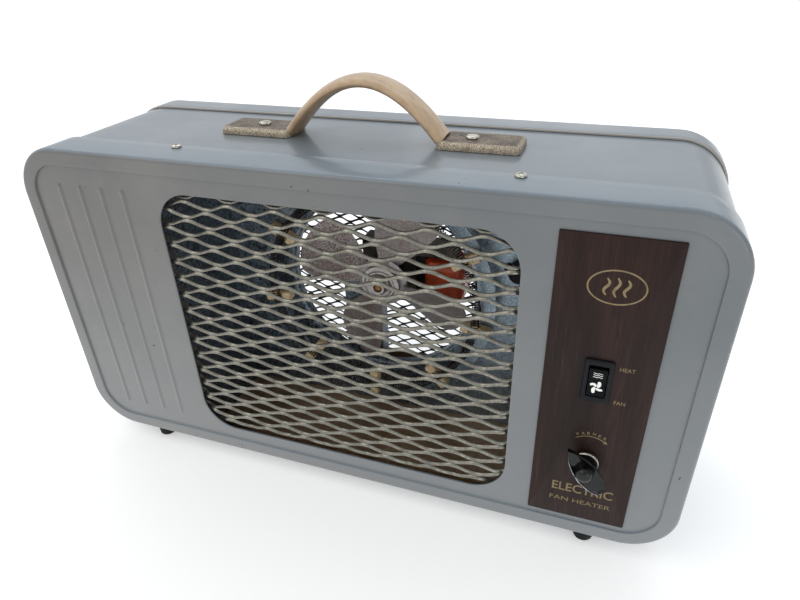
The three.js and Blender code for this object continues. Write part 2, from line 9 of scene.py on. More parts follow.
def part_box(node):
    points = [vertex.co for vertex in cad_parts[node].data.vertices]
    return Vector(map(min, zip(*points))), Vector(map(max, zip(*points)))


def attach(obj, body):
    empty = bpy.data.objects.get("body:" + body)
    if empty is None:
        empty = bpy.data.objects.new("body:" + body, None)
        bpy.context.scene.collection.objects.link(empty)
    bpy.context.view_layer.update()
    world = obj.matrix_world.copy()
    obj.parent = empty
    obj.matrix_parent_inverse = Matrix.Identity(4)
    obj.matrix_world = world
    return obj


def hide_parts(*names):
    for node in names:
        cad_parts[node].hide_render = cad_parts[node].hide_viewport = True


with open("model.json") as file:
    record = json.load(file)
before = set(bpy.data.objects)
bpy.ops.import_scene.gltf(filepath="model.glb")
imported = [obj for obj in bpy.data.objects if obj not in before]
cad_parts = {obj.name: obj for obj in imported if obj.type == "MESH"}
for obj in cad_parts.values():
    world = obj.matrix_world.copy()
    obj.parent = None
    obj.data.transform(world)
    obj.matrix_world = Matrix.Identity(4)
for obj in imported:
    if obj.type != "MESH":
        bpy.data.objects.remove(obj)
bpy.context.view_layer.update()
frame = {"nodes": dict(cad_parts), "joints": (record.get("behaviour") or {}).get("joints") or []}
joints = {joint["name"]: joint for joint in frame["joints"]}
print("frame loaded:", len(frame["nodes"]), "nodes")

# Pieces are drawn in millimetres in the case's own frame: x 0 in the middle, y 0 on the front rim, growing
# to the back, and z 0 on the underside of the case.
mm = 0.001
coverLow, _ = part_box("front_cover")
caseOrigin = np.array([0.0, coverLow.y, coverLow.z])


# lowest and highest corner of a CAD node, in the case's millimetres
def span(name):
    low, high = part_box(name)
    return (np.array(low) - caseOrigin) / mm, (np.array(high) - caseOrigin) / mm


# the middle of a CAD node's box
def centreOf(name):
    low, high = span(name)
    return (low + high) / 2


# the point that a joint turns about, in the case's millimetres
def pivot(joint):
    return (np.array(joints[joint]["pos_m"]) - caseOrigin) / mm


# the case's millimetres as metres in the row's frame
def place(points):
    return np.asarray(points, float) * mm + caseOrigin


caseWidth, _, caseHeight = span("front_cover")[1] - span("front_cover")[0]
caseDepth = span("rear_cover")[1][1]
middle = caseHeight / 2
windowMiddle = centreOf("front_grille")[2]

# pressed steel case, the sizes that its covers, band and grilles share
case = {"corner": 36, "edge": 3, "sheet": 1.2, "rim": 12, "step": 1.5, "bandStep": 1.8, "windowWidth": 248,
        "windowHeight": 204, "windowCorner": 26, "windowMargin": 7}


# quads between the neighbours of a rows x columns grid, wrapping round where the grid is closed
def gridQuads(rows, columns, closeRows, closeColumns):
    i = np.arange(rows if closeRows else rows - 1)[:, None]
    j = np.arange(columns if closeColumns else columns - 1)[None, :]
    below, beside = (i + 1) % rows, (j + 1) % columns
    corners = (i * columns + j, below * columns + j, below * columns + beside, i * columns + beside)
    return np.stack(np.broadcast_arrays(*corners), -1).reshape(-1, 4)


# six times the volume that the faces enclose, negative where they face inwards
def facing(points, quads, fans):
    a, b, c, d = (points[quads[:, k]] for k in range(4))
    e, f, g = (points[fans[:, k]] for k in range(3))
    return np.sum(np.cross(a, b) * c + np.cross(a, c) * d) + np.sum(np.cross(e, f) * g)


# A closed shell from rings of points (rings, points round a ring, 3): neighbouring rings are joined, and
# the first and last ring close in a fan round their own middle unless the rings close on themselves.
def shell(rings, loop=False):
    rings = np.asarray(rings, float)
    count, around = rings.shape[:2]
    points = rings.reshape(-1, 3)
    quads = gridQuads(count, around, loop, True)
    fans = np.zeros((0, 3), int)
    if not loop:
        first = np.arange(around)
        last = first + (count - 1) * around
        hub = np.full(around, len(points))
        points = np.vstack([points, rings[0].mean(0), rings[-1].mean(0)])
        fans = np.vstack([np.stack([hub, first, np.roll(first, -1)], -1),
                          np.stack([hub + 1, np.roll(last, -1), last], -1)])
    if facing(points, quads, fans) < 0:
        quads, fans = quads[:, ::-1], fans[:, ::-1]
    return points, quads, fans


# a new object in the scene
def addObject(name, data):
    made = bpy.data.objects.new(name, data)
    bpy.context.scene.collection.objects.link(made)
    return made


# points and faces in the case's frame as one mesh object that rides on a body
def meshPiece(name, points, faces, finish, body="case", replaces=None):
    mesh = bpy.data.meshes.new(name)
    mesh.from_pydata(place(points).tolist(), [], faces)
    mesh.materials.append(finish)
    piece = addObject(name, mesh)
    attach(piece, body)
    if replaces:
        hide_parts(replaces)
    return piece


# Several shells as one piece, shaded smooth up to the sharp angle. marks are values for its first points;
# inside is a second material and which of the first faces have it.
def addPiece(name, shells, finish, body="case", replaces=None, sharp=38, marks=None, inside=None):
    points, faces, start = [], [], 0
    for corners, quads, fans in shells:
        points.append(corners)
        faces += (quads + start).tolist() + (fans + start).tolist()
        start += len(corners)
    piece = meshPiece(name, np.vstack(points), faces, finish, body, replaces)
    mesh = piece.data
    mesh.polygons.foreach_set("use_smooth", np.ones(len(faces), bool))
    mesh.set_sharp_from_angle(angle=math.radians(sharp))
    for label, values in (marks or {}).items():
        layer = mesh.attributes.new(label, "FLOAT", "POINT")
        padded = np.zeros(len(mesh.vertices), np.float32)
        padded[:len(values)] = values
        layer.data.foreach_set("value", padded)
    if inside:
        material, which = inside
        mesh.materials.append(material)
        slots = np.zeros(len(faces), np.int32)
        slots[:len(which)] = which
        mesh.polygons.foreach_set("material_index", slots)
    return piece


# how far each point of a piece faces up, from 1 to -1: the z of its normal
def markUpward(piece):
    mesh = piece.data
    normals = np.empty(len(mesh.vertices) * 3, np.float32)
    mesh.vertex_normals.foreach_get("vector", normals)
    layer = mesh.attributes.new("upward", "FLOAT", "POINT")
    layer.data.foreach_set("value", np.ascontiguousarray(normals[2::3]))


# cuts closed shells out of a piece and keeps its sharp edges
def cutFrom(piece, shells, sharp=38):
    for k, (points, quads, fans) in enumerate(shells):
        tool = bpy.data.meshes.new(f"tool{k}")
        tool.from_pydata(place(points).tolist(), [], quads.tolist() + fans.tolist())
        cutter = addObject(f"tool{k}", tool)
        boolean = piece.modifiers.new("hole", "BOOLEAN")
        boolean.object = cutter
        boolean.operation = "DIFFERENCE"
        boolean.solver = "EXACT"
        bpy.context.view_layer.update()
        view = bpy.context.evaluated_depsgraph_get()
        result = bpy.data.meshes.new_from_object(piece.evaluated_get(view))
        piece.modifiers.remove(boolean)
        bpy.data.objects.remove(cutter)
        result.name = piece.name
        piece.data = result
    piece.data.set_sharp_from_angle(angle=math.radians(sharp))


# Points round a rectangle with round corners: each side in equal steps, then each corner as a quarter
# circle. Outlines with the same counts stay in step, so one can be blended into another.
def outline(width, height, corner, arcs=(12, 12, 12, 12), wide=40, tall=24):
    half = np.array([width / 2 - corner, height / 2 - corner])
    signs = np.array([(1, 1), (-1, 1), (-1, -1), (1, -1)])
    parts = []
    for k in range(4):
        quarter = k * math.pi / 2
        out = corner * np.array([math.cos(quarter), math.sin(quarter)])
        begin, end = half * signs[k - 1] + out, half * signs[k] + out
        steps = np.linspace(0, 1, wide if k % 2 else tall, endpoint=False)[:, None]
        angle = quarter + np.linspace(0, math.pi / 2, arcs[k], endpoint=False)
        parts.append(begin + (end - begin) * steps)
        parts.append(half * signs[k] + corner * np.stack([np.cos(angle), np.sin(angle)], -1))
    return np.vstack(parts)


# rings that follow an outline at a height along the third axis: "y" for upright faces, "z" for flat ones
def raised(flat, height, centre=(0, 0), axis="y"):
    u, v = flat[:, 0] + centre[0], flat[:, 1] + centre[1]
    w = np.broadcast_to(height, u.shape)
    return np.stack((u, w, v) if axis == "y" else (u, v, w), -1)


# rounded rectangles (width, height, corner, level) one after another, for bevelled plates and boxes
def stacked(levels, centre=(0, 0), axis="y", **counts):
    return [raised(outline(w, h, r, **counts), level, centre, axis) for w, h, r, level in levels]


# a profile of (radius, height) turned about a line along Y or Z through centre
def turned(profile, centre, axis="y", around=48):
    angle = np.linspace(0, 2 * math.pi, around, endpoint=False)
    radius, height = np.asarray(profile, float).T[:, :, None]
    u, v, w = radius * np.cos(angle), radius * np.sin(angle), height + 0 * angle
    return np.stack((u, w, v) if axis == "y" else (u, v, w), -1) + np.asarray(centre, float)


# a box between two corners, its upright edges cut by a hair
def boxShell(low, high):
    low, high = np.asarray(low, float), np.asarray(high, float)
    size, centre = high - low, (high + low) / 2
    hair = 0.05
    return shell(stacked([(size[0], size[2], hair, low[1]), (size[0], size[2], hair, high[1])],
                         (centre[0], centre[2]), arcs=(1, 1, 1, 1), wide=1, tall=1))


# a circle carried along a path, square to the path at every point
def tube(path, radius, sides=8, closed=False):
    path = np.asarray(path, float)
    ahead = np.roll(path, -1, 0) - np.roll(path, 1, 0) if closed else np.gradient(path, axis=0)
    ahead = ahead / np.linalg.norm(ahead, axis=1, keepdims=True)
    guide = np.where(np.abs(ahead[:, 1:2]) < 0.9, [[0.0, 1.0, 0.0]], [[1.0, 0.0, 0.0]])
    side = np.cross(ahead, guide)
    side = side / np.linalg.norm(side, axis=1, keepdims=True)
    up = np.cross(side, ahead)
    angle = np.linspace(0, 2 * math.pi, sides, endpoint=False)[None, :, None]
    ring = side[:, None] * np.cos(angle) + up[:, None] * np.sin(angle)
    return path[:, None] + ring * np.reshape(radius, (-1, 1, 1))


# a smooth step from 0 to 1 as value runs from low to high
def ease(value, low, high):
    t = np.clip((value - low) / (high - low), 0, 1)
    return t * t * (3 - 2 * t)


# points along a chain of quadratic curves: start, then (control, end) pairs
def curveThrough(start, *pairs, steps=12):
    points, here = [], np.array(start, float)
    t = np.linspace(0, 1, steps, endpoint=False)[:, None]
    for control, end in pairs:
        control, end = np.array(control, float), np.array(end, float)
        points.append(here * (1 - t) ** 2 + 2 * control * t * (1 - t) + end * t ** 2)
        here = end
    return np.vstack(points + [here[None]])


# linear colour of an RRGGBB number
def fromHex(code):
    parts = [(code >> shift & 255) / 255 for shift in (16, 8, 0)]
    return tuple(p / 12.92 if p <= 0.04045 else ((p + 0.055) / 1.055) ** 2.4 for p in parts) + (1.0,)


# a Principled material with short calls for the patterns that this heater needs
class Finish:
    def __init__(self, name, colour, roughness, metallic=0.0, **sockets):
        self.material = bpy.data.materials.new(name)
        self.material.use_nodes = True
        self.tree = self.material.node_tree
        self.shader = self.tree.nodes["Principled BSDF"]
        self.material.diffuse_color = fromHex(colour)
        self.set("Base Color", fromHex(colour))
        self.set("Roughness", roughness)
        self.set("Metallic", metallic)
        for socket, value in sockets.items():
            self.set(socket.replace("_", " "), value)
        self.heights = None

    def set(self, socket, value):
        target = self.shader.inputs[socket]
        if hasattr(value, "is_output"):
            self.tree.links.new(value, target)
        else:
            target.default_value = value

    def node(self, kind, inputs=None, **settings):
        made = self.tree.nodes.new(kind)
        for key, value in settings.items():
            setattr(made, key, value)
        for key, value in (inputs or {}).items():
            if hasattr(value, "is_output"):
                self.tree.links.new(value, made.inputs[key])
            else:
                made.inputs[key].default_value = value
        return made

    # Object coordinates, stretched and shifted
    def where(self, stretch=(1, 1, 1), shift=(0, 0, 0)):
        spot = self.node("ShaderNodeTexCoord").outputs["Object"]
        values = {"Vector": spot, "Scale": stretch, "Location": shift}
        return self.node("ShaderNodeMapping", values).outputs[0]

    def noise(self, scale, detail=3, roughness=0.5, stretch=(1, 1, 1), shift=(0, 0, 0), distortion=0.0):
        values = {"Vector": self.where(stretch, shift), "Scale": scale, "Detail": detail,
                  "Roughness": roughness, "Distortion": distortion}
        return self.node("ShaderNodeTexNoise", values).outputs["Fac"]

    def cells(self, scale, stretch=(1, 1, 1), output="Color", feature="F1"):
        values = {"Vector": self.where(stretch), "Scale": scale}
        return self.node("ShaderNodeTexVoronoi", values, feature=feature).outputs[output]

    # maps low..high to bottom..top and holds it there
    def band(self, value, low, high, bottom=0.0, top=1.0):
        values = {"Value": value, "From Min": low, "From Max": high, "To Min": bottom, "To Max": top}
        return self.node("ShaderNodeMapRange", values, clamp=True).outputs[0]

    def maths(self, operation, a, b=0.0):
        return self.node("ShaderNodeMath", {0: a, 1: b}, operation=operation).outputs[0]

    def blendColour(self, amount, first, second):
        mixer = self.node("ShaderNodeMix", {"Factor": amount}, data_type="RGBA")
        for key, value in ((6, first), (7, second)):
            if hasattr(value, "is_output"):
                self.tree.links.new(value, mixer.inputs[key])
            else:
                mixer.inputs[key].default_value = fromHex(value) if isinstance(value, int) else value
        return mixer.outputs[2]

    # the piece's own attribute
    def mark(self, label):
        return self.node("ShaderNodeAttribute", attribute_name=label).outputs["Fac"]

    # adds a bump on top of any that is there
    def bump(self, height, distance, strength=1.0):
        values = {"Height": height, "Distance": distance, "Strength": strength}
        if self.heights:
            values["Normal"] = self.heights
        self.heights = self.node("ShaderNodeBump", values).outputs[0]
        self.set("Normal", self.heights)
        return self


# Old sprayed enamel: orange peel, faint clouds, stains, dirt and small chips, with light painted in: it turns
# bluer from left to right as painted cool light from the right, lighter towards the foot as a painted
# reflection of the floor, and bluer where it faces up as a painted reflection of the sky. The edge mark is 1
# where the paint is rubbed in spots and 2 along a seam, which it paints paler.
def enamel(name, colour, shade, warm, roughness, coat, paintedSkyReflection, paintedFloorReflection):
    paint = Finish(name, colour, roughness, Coat_Weight=coat, Coat_Roughness=0.12, Specular_IOR_Level=0.5)
    clouds = paint.noise(9, 4, 0.6)
    tone = paint.blendColour(paint.band(clouds, 0.35, 0.7), colour, shade)
    stain = paint.band(paint.noise(26, 5, 0.7, shift=(3, 1, 2)), 0.56, 0.78, 0, 0.45)
    tone = paint.blendColour(stain, tone, warm)
    grime = paint.band(paint.noise(240, 3, 0.6, shift=(1, 5, 3)), 0.6, 0.76, 0, 0.18)
    tone = paint.blendColour(grime, tone, 0x4A443C)
    worn = paint.maths("MULTIPLY", paint.mark("edge"), paint.band(paint.noise(210, 4, 0.75), 0.6, 0.66))
    tone = paint.blendColour(paint.maths("MULTIPLY", worn, 0.4), tone, 0xB9B6AE)
    spot = paint.node("ShaderNodeSeparateXYZ", {"Vector": paint.where()}).outputs
    # painted light: bluer towards the right, where the cool light falls
    tone = paint.blendColour(paint.band(spot["X"], -0.2, 0.22, 0, 0.35), tone, 0x66757F)
    # painted reflection of the pale floor: lighter towards the foot
    tone = paint.blendColour(paint.band(spot["Z"], 0.2, 0.03, 0, paintedFloorReflection), tone, 0x9A9DA0)
    # painted reflection of the sky: bluer where it faces up
    tone = paint.blendColour(paint.band(paint.mark("upward"), 0.3, 0.95, 0, paintedSkyReflection), tone, 0x71808B)
    seam = paint.band(paint.mark("edge"), 1.2, 1.9, 0, 0.6)
    tone = paint.blendColour(seam, tone, 0xC4B9AC)
    chips = paint.band(paint.noise(230, 2, 0.5, shift=(7, 2, 9)), 0.765, 0.775)
    paint.set("Base Color", paint.blendColour(chips, tone, 0x2E2823))
    paint.set("Roughness", paint.band(clouds, 0.3, 0.75, roughness - 0.05, roughness + 0.12))
    paint.bump(paint.noise(1500, 2, 0.5), 0.00004, 0.35)
    paint.bump(paint.noise(22, 2, 0.5), 0.0012, 0.16)
    return paint.material


# dark walnut grain running up the fascia under a satin lacquer, with fine pores, and painted shade that makes
# it darker and redder near the top
def woodFoil():
    wood = Finish("walnutFoil", 0x2A1D1A, 0.5, Specular_IOR_Level=0.22)
    figure = wood.noise(7, 3, 0.55, stretch=(8, 8, 0.9), distortion=0.9)
    streaks = wood.noise(60, 5, 0.75, stretch=(9, 9, 0.35), distortion=0.2)
    pores = wood.band(wood.noise(160, 3, 0.6, stretch=(10, 10, 0.5), shift=(2, 0, 4)), 0.5, 0.66)
    tone = wood.blendColour(wood.band(figure, 0.3, 0.72), 0x190D0A, 0x38231D)
    tone = wood.blendColour(wood.band(streaks, 0.42, 0.64, 0, 0.65), tone, 0x211512)
    tone = wood.blendColour(wood.band(streaks, 0.3, 0.42, 0.35, 0), tone, 0x4A3631)
    # painted shade: darker and redder towards the top of the fascia
    height = wood.node("ShaderNodeSeparateXYZ", {"Vector": wood.where()}).outputs["Z"]
    tone = wood.blendColour(wood.band(height, 0.16, 0.25, 0, 0.55), tone, 0x260E07)
    wood.set("Base Color", wood.blendColour(wood.maths("MULTIPLY", pores, 0.5), tone, 0x120B0A))
    wood.set("Roughness", wood.band(streaks, 0.3, 0.7, 0.42, 0.58))
    wood.bump(pores, -0.00006, 0.4)
    return wood.material


# galvanised sheet: crystals of zinc, each with its own tone and gloss, pale speckle, brown dirt, and painted
# light: a paler, bluer stretch right of the middle, as if lit there
def spangle(name, dark, light, roughness=0.42):
    zinc = Finish(name, light, roughness, 0.75)
    crystals = zinc.cells(420)
    grain = zinc.node("ShaderNodeSeparateColor", {"Color": crystals}).outputs[0]
    speckle = zinc.noise(900, 4, 0.75)
    tone = zinc.blendColour(grain, dark, light)
    tone = zinc.blendColour(zinc.band(speckle, 0.52, 0.68, 0, 0.7), tone, 0xDDE6EC)
    tone = zinc.blendColour(zinc.band(zinc.noise(30, 4, 0.6), 0.5, 0.75, 0, 0.5), tone, 0x3A3630)
    # painted light: paler and bluer right of the middle, where light falls on the sheet
    across = zinc.node("ShaderNodeSeparateXYZ", {"Vector": zinc.where()}).outputs["X"]
    stretch = zinc.band(across, 0.04, 0.1, 0, 0.8)
    paintedLightRight = zinc.maths("MULTIPLY", stretch, zinc.band(speckle, 0.4, 0.6, 0.35, 1))
    zinc.set("Base Color", zinc.blendColour(paintedLightRight, tone, 0xB4C6D2))
    zinc.set("Roughness", zinc.band(grain, 0, 1, roughness - 0.12, roughness + 0.15))
    zinc.bump(speckle, 0.00008, 0.4)
    return zinc.material


# metal with fine grain, a little tarnish and dust in patches
def plainMetal(name, colour, shade, roughness, metallic=0.9, scale=500, dirt=0.35, dirtColour=0x2A2420):
    metal = Finish(name, colour, roughness, metallic)
    grain = metal.noise(scale, 4, 0.7)
    tone = metal.blendColour(metal.band(grain, 0.35, 0.7), colour, shade)
    dirty = metal.band(metal.noise(scale * 0.12, 5, 0.7, shift=(4, 4, 1)), 0.5, 0.72, 0, dirt)
    metal.set("Base Color", metal.blendColour(dirty, tone, dirtColour))
    metal.set("Roughness", metal.band(grain, 0.3, 0.7, roughness - 0.07, roughness + 0.12))
    metal.bump(grain, 0.00004, 0.5)
    return metal.material


# moulded plastic or rubber: fine texture, slight scuffs, and pale spots where the worn mark is: partly
# rubbed, partly a painted highlight
def moulded(name, colour, roughness, grainScale=1200, grain=0.00003, gloss=0.5, scuff=0.1):
    plastic = Finish(name, colour, roughness, Specular_IOR_Level=gloss)
    scuffs = plastic.band(plastic.noise(180, 5, 0.75), 0.55, 0.72, 0, scuff)
    tone = plastic.blendColour(scuffs, colour, 0x6A6A6C)
    spots = plastic.band(plastic.noise(420, 3), 0.3, 0.6)
    # pale spots along the marked edge: partly wear, partly a painted highlight
    rubbedAndGlint = plastic.maths("MULTIPLY", plastic.mark("worn"), spots)
    plastic.set("Base Color", plastic.blendColour(rubbedAndGlint, tone, 0xC9CBD0))
    patches = plastic.noise(90, 4, 0.6)
    plastic.set("Roughness", plastic.band(patches, 0.35, 0.7, roughness, roughness + 0.15))
    plastic.bump(plastic.noise(grainScale, 2, 0.5), grain, 0.5)
    return plastic.material


# unglazed tan ceramic, a little sooty
def steatite():
    clay = Finish("steatite", 0xC9AE84, 0.6)
    tone = clay.blendColour(clay.band(clay.noise(300, 4, 0.7), 0.35, 0.7), 0xE2CCA6, 0xBF9F72)
    soot = clay.band(clay.noise(90, 4, 0.6, shift=(2, 2, 2)), 0.58, 0.76, 0, 0.45)
    clay.set("Base Color", clay.blendColour(soot, tone, 0x5A4632))
    clay.bump(clay.noise(1400, 3, 0.6), 0.00005, 0.5)
    return clay.material


# tan vinyl with stretch wrinkles across it, grimy in patches, and browner on its under side as painted shade
def vinylSleeve():
    vinyl = Finish("vinylSleeve", 0xA88D70, 0.42, Coat_Weight=0.35, Coat_Roughness=0.2)
    along = vinyl.noise(120, 4, 0.65, stretch=(0.6, 2.5, 0.6))
    tone = vinyl.blendColour(vinyl.band(along, 0.35, 0.7), 0xC4A988, 0xB09272)
    grime = vinyl.band(vinyl.noise(70, 5, 0.7, shift=(5, 1, 1)), 0.52, 0.75, 0, 0.45)
    tone = vinyl.blendColour(grime, tone, 0x7C6348)
    # painted shade: browner on the under side
    under = vinyl.band(vinyl.mark("under"), 0.0, 1.0, 0.0, 0.35)
    vinyl.set("Base Color", vinyl.blendColour(under, tone, 0x7A5636))
    vinyl.bump(vinyl.noise(900, 3, 0.6), 0.00005, 0.5)
    vinyl.bump(along, 0.0002, 0.3)
    return vinyl.material


# worn nickel plate: brown tarnish on top, bright pitted metal on the bevels
def tarnishedPlate():
    plate = Finish("tarnishedPlate", 0x5E5145, 0.45, 0.85)
    clouds = plate.noise(110, 5, 0.7)
    top = plate.blendColour(plate.band(clouds, 0.35, 0.68), 0x4C4038, 0x8A7B68)
    pits = plate.band(plate.noise(1700, 4, 0.75, shift=(3, 3, 3)), 0.42, 0.62)
    bright = plate.blendColour(pits, 0x6E5B48, 0xDDD3BE)
    bevel = plate.mark("bevel")
    plate.set("Base Color", plate.blendColour(bevel, top, bright))
    plate.set("Roughness", plate.band(plate.noise(600, 3, 0.6), 0.35, 0.65, 0.28, 0.6))
    plate.bump(pits, 0.00012, 0.6)
    plate.bump(clouds, 0.0002, 0.25)
    return plate.material


# turns of enamelled copper wire under red-orange varnish, which a faint emission keeps from going dull
def woundCopper():
    coil = Finish("woundCopper", 0xC0431A, 0.24, 0.35, Coat_Weight=0.7, Coat_Roughness=0.12,
                  Emission_Color=(1.0, 0.12, 0.02, 1), Emission_Strength=0.03)
    values = {"Vector": coil.where(), "Scale": 620.0, "Distortion": 0.6, "Detail": 2.0}
    turns = coil.node("ShaderNodeTexWave", values, bands_direction="Z").outputs["Fac"]
    tone = coil.blendColour(coil.band(turns, 0.2, 0.9), 0x7A1E08, 0xEA5E24)
    patch = coil.band(coil.noise(70, 3, 0.6), 0.45, 0.7, 0, 0.6)
    coil.set("Base Color", coil.blendColour(patch, tone, 0x3A0D05))
    coil.bump(turns, 0.0003, 0.7)
    return coil.material


# spun aluminium with clumps of brown dust, as thick on each blade as its dust mark says
def dustyBlade():
    blade = Finish("dustyBlade", 0xA9A3A0, 0.42, 0.7)
    grain = blade.noise(700, 5, 0.8)
    tone = blade.blendColour(blade.band(grain, 0.35, 0.7), 0xAEA8A6, 0xCECAC9)
    clumps = blade.band(blade.noise(900, 3, 0.75, shift=(6, 6, 1)), 0.44, 0.6)
    dusty = blade.maths("MULTIPLY", blade.band(blade.mark("dust"), 0.2, 0.9), clumps)
    tone = blade.blendColour(dusty, tone, 0x684538)
    film = blade.band(blade.noise(45, 4, 0.6), 0.42, 0.7, 0.0, 0.5)
    blade.set("Base Color", blade.blendColour(film, tone, 0x96796C))
    blade.set("Roughness", blade.band(grain, 0.3, 0.7, 0.38, 0.6))
    blade.bump(clumps, 0.00025, 0.4)
    return blade.material


# edges of stacked steel sheets, in lines along the motor's axis
def laminations():
    steel = Finish("laminations", 0x45403C, 0.5, 0.8)
    values = {"Vector": steel.where(), "Scale": 500.0, "Distortion": 0.3}
    lines = steel.node("ShaderNodeTexWave", values, bands_direction="Y").outputs["Fac"]
    tone = steel.blendColour(steel.band(steel.noise(60, 4, 0.7), 0.35, 0.7), 0x5A544E, 0x2D2926)
    steel.set("Base Color", steel.blendColour(steel.band(lines, 0.7, 1.0, 0, 0.6), tone, 0x191614))
    steel.bump(lines, 0.0002, 0.5)
    return steel.material


greyEnamel = enamel("greyEnamel", 0x6A6763, shade=0x5B5A58, warm=0x766F62, roughness=0.33, coat=0.45,
                    paintedSkyReflection=0.75, paintedFloorReflection=0.42)
blueEnamel = enamel("blueGreyEnamel", 0x6F767B, shade=0x636A6F, warm=0x77766F, roughness=0.32, coat=0.45,
                    paintedSkyReflection=0.2, paintedFloorReflection=0.12)
walnut = woodFoil()
zincSheet = spangle("zincSheet", dark=0x363D44, light=0x76838E)
bladeMetal = dustyBlade()
coreSteel = laminations()
copperWire = woundCopper()
clay = steatite()
tanVinyl = vinylSleeve()
capPlate = tarnishedPlate()

# name, colour, darker shade, roughness, and then what differs from a dark, slightly dirty metal
meshPlate = plainMetal("meshPlate", 0x9A978C, 0x74726A, 0.3, metallic=0.85, dirt=0.5, dirtColour=0x453C32)
darkMesh = plainMetal("darkMesh", 0x5A5650, 0x3A3733, 0.45, metallic=0.8)
hubMetal = plainMetal("hubMetal", 0xB8B2AE, 0x8A8480, 0.32, dirt=0.4, dirtColour=0x4A3A30)
darkSteel = plainMetal("darkSteel", 0x4C4743, 0x2E2A27, 0.42, metallic=0.85)
screwSteel = plainMetal("screwSteel", 0xD3D0C4, 0xA9A598, 0.26, metallic=0.95, scale=900, dirt=0.5,
                        dirtColour=0x5A4E3C)
bronzeBush = plainMetal("bronzeBush", 0x9C7248, 0x6E4A2A, 0.35)
elementWire = plainMetal("elementWire", 0x3A332E, 0x1E1A17, 0.5, metallic=0.75, scale=1500, dirt=0.4,
                         dirtColour=0x5A4638)
goldPrint = plainMetal("goldPrint", 0x8C7A56, 0x756546, 0.5, metallic=0.2, scale=1400, dirt=0.5,
                       dirtColour=0x4A3C28)
caseInside = plainMetal("caseInside", 0xC4A688, 0xA08466, 0.4, metallic=0.3, scale=60, dirt=0.6,
                        dirtColour=0x5E442E)

# name, colour, roughness
blackGloss = moulded("blackGloss", 0x050506, 0.07, grain=0.00001, scuff=0.03, gloss=0.4)
blackSatin = moulded("blackSatin", 0x0B0E13, 0.4, gloss=0.2)
blackRocker = moulded("blackRocker", 0x040506, 0.4, gloss=0.1, scuff=0.03)
rubberBlack = moulded("rubberBlack", 0x0E0E0E, 0.7, grainScale=500, grain=0.0001, gloss=0.3)
whitePrint = moulded("whitePrint", 0xF2F2EE, 0.45)
floorCard = Finish("paleFloor", 0xF7F7F6, 0.85, Specular_IOR_Level=0.2, Emission_Color=(1, 1, 1, 1),
                   Emission_Strength=0.3).material
print("materials ready")

# the camera's place in metres, its angles in degrees and its lens in millimetres
view = {"spot": (0.1641, -0.3777, 0.3815), "azimuth": 20.12, "elevation": 30.77, "roll": 1.858, "lens": 27.46}


def addCamera():
    azimuth, elevation = math.radians(view["azimuth"]), math.radians(view["elevation"])
    level = math.cos(elevation)
    ahead = Vector((-math.sin(azimuth) * level, math.cos(azimuth) * level, -math.sin(elevation)))
    turn = ahead.to_track_quat("-Z", "Y")
    turn.rotate(Quaternion(ahead, math.radians(view["roll"])))
    data = bpy.data.cameras.new("viewCamera")
    data.lens = view["lens"]
    data.sensor_width = 36
    data.clip_start = 0.01
    camera = addObject("viewCamera", data)
    camera.rotation_mode = "QUATERNION"
    camera.location = view["spot"]
    camera.rotation_quaternion = turn
    bpy.context.scene.camera = camera


# each light: where it stands, what it looks at, its size in metres, its power and its colour
lights = {
    "keySoftbox": {"spot": (-0.9, -1.0, 1.5), "aim": (0, 0, 0.12), "size": (1.3, 1.0), "power": 4.5,
                   "colour": (1.0, 0.95, 0.88)},
    "topSoftbox": {"spot": (0.15, 0.35, 1.6), "aim": (0, 0, 0.1), "size": (1.8, 1.2), "power": 1.0,
                   "colour": (0.8, 0.9, 1.0)},
    "rightFill": {"spot": (1.1, -1.2, 0.4), "aim": (0.15, 0, 0.1), "size": (0.8, 0.6), "power": 2.2,
                  "colour": (0.9, 0.95, 1.0)},
    "edgeStrip": {"spot": (-0.6, 0.9, 1.9), "aim": (-0.6, 0, 0.15), "size": (3.4, 0.06), "power": 10,
                  "colour": (0.82, 0.91, 1.0)},
    "backFill": {"spot": (0.2, 1.6, 1.0), "aim": (0, 0, 0.1), "size": (1.6, 1.0), "power": 1.5,
                 "colour": (1.0, 1.0, 1.0)},
}


# the pale room round it: from X -1 on the left to 1 on the right its strength falls from 0.98 to 0.6
room = {"colour": (0.95, 0.975, 1.0, 1), "leftToRight": (-1, 1, 0.98, 0.6)}


def addLights():
    for name, light in lights.items():
        data = bpy.data.lights.new(name, "AREA")
        data.shape = "RECTANGLE"
        data.energy = light["power"]
        data.color = light["colour"]
        data.size, data.size_y = light["size"]
        lamp = addObject(name, data)
        lamp.location = light["spot"]
        lamp.rotation_mode = "QUATERNION"
        aim = Vector(light["aim"]) - Vector(light["spot"])
        lamp.rotation_quaternion = aim.to_track_quat("-Z", "Y")
    world = bpy.data.worlds.new("paleRoom")
    world.use_nodes = True
    tree = world.node_tree
    direction = tree.nodes.new("ShaderNodeTexCoord").outputs["Generated"]
    across = tree.nodes.new("ShaderNodeSeparateXYZ")
    tree.links.new(direction, across.inputs[0])
    shade = tree.nodes.new("ShaderNodeMapRange")
    tree.links.new(across.outputs["X"], shade.inputs["Value"])
    for socket, value in zip(("From Min", "From Max", "To Min", "To Max"), room["leftToRight"]):
        shade.inputs[socket].default_value = value
    tree.links.new(shade.outputs[0], tree.nodes["Background"].inputs["Strength"])
    tree.nodes["Background"].inputs["Color"].default_value = room["colour"]
    bpy.context.scene.world = world
    bpy.context.scene.view_settings.view_transform = "Standard"


def addFloor():
    mesh = bpy.data.meshes.new("paleFloor")
    reach = 30.0
    mesh.from_pydata([(-reach, -reach, 0), (reach, -reach, 0), (reach, reach, 0), (-reach, reach, 0)], [],
                     [(0, 1, 2, 3)])
    mesh.materials.append(floorCard)
    addObject("paleFloor", mesh)


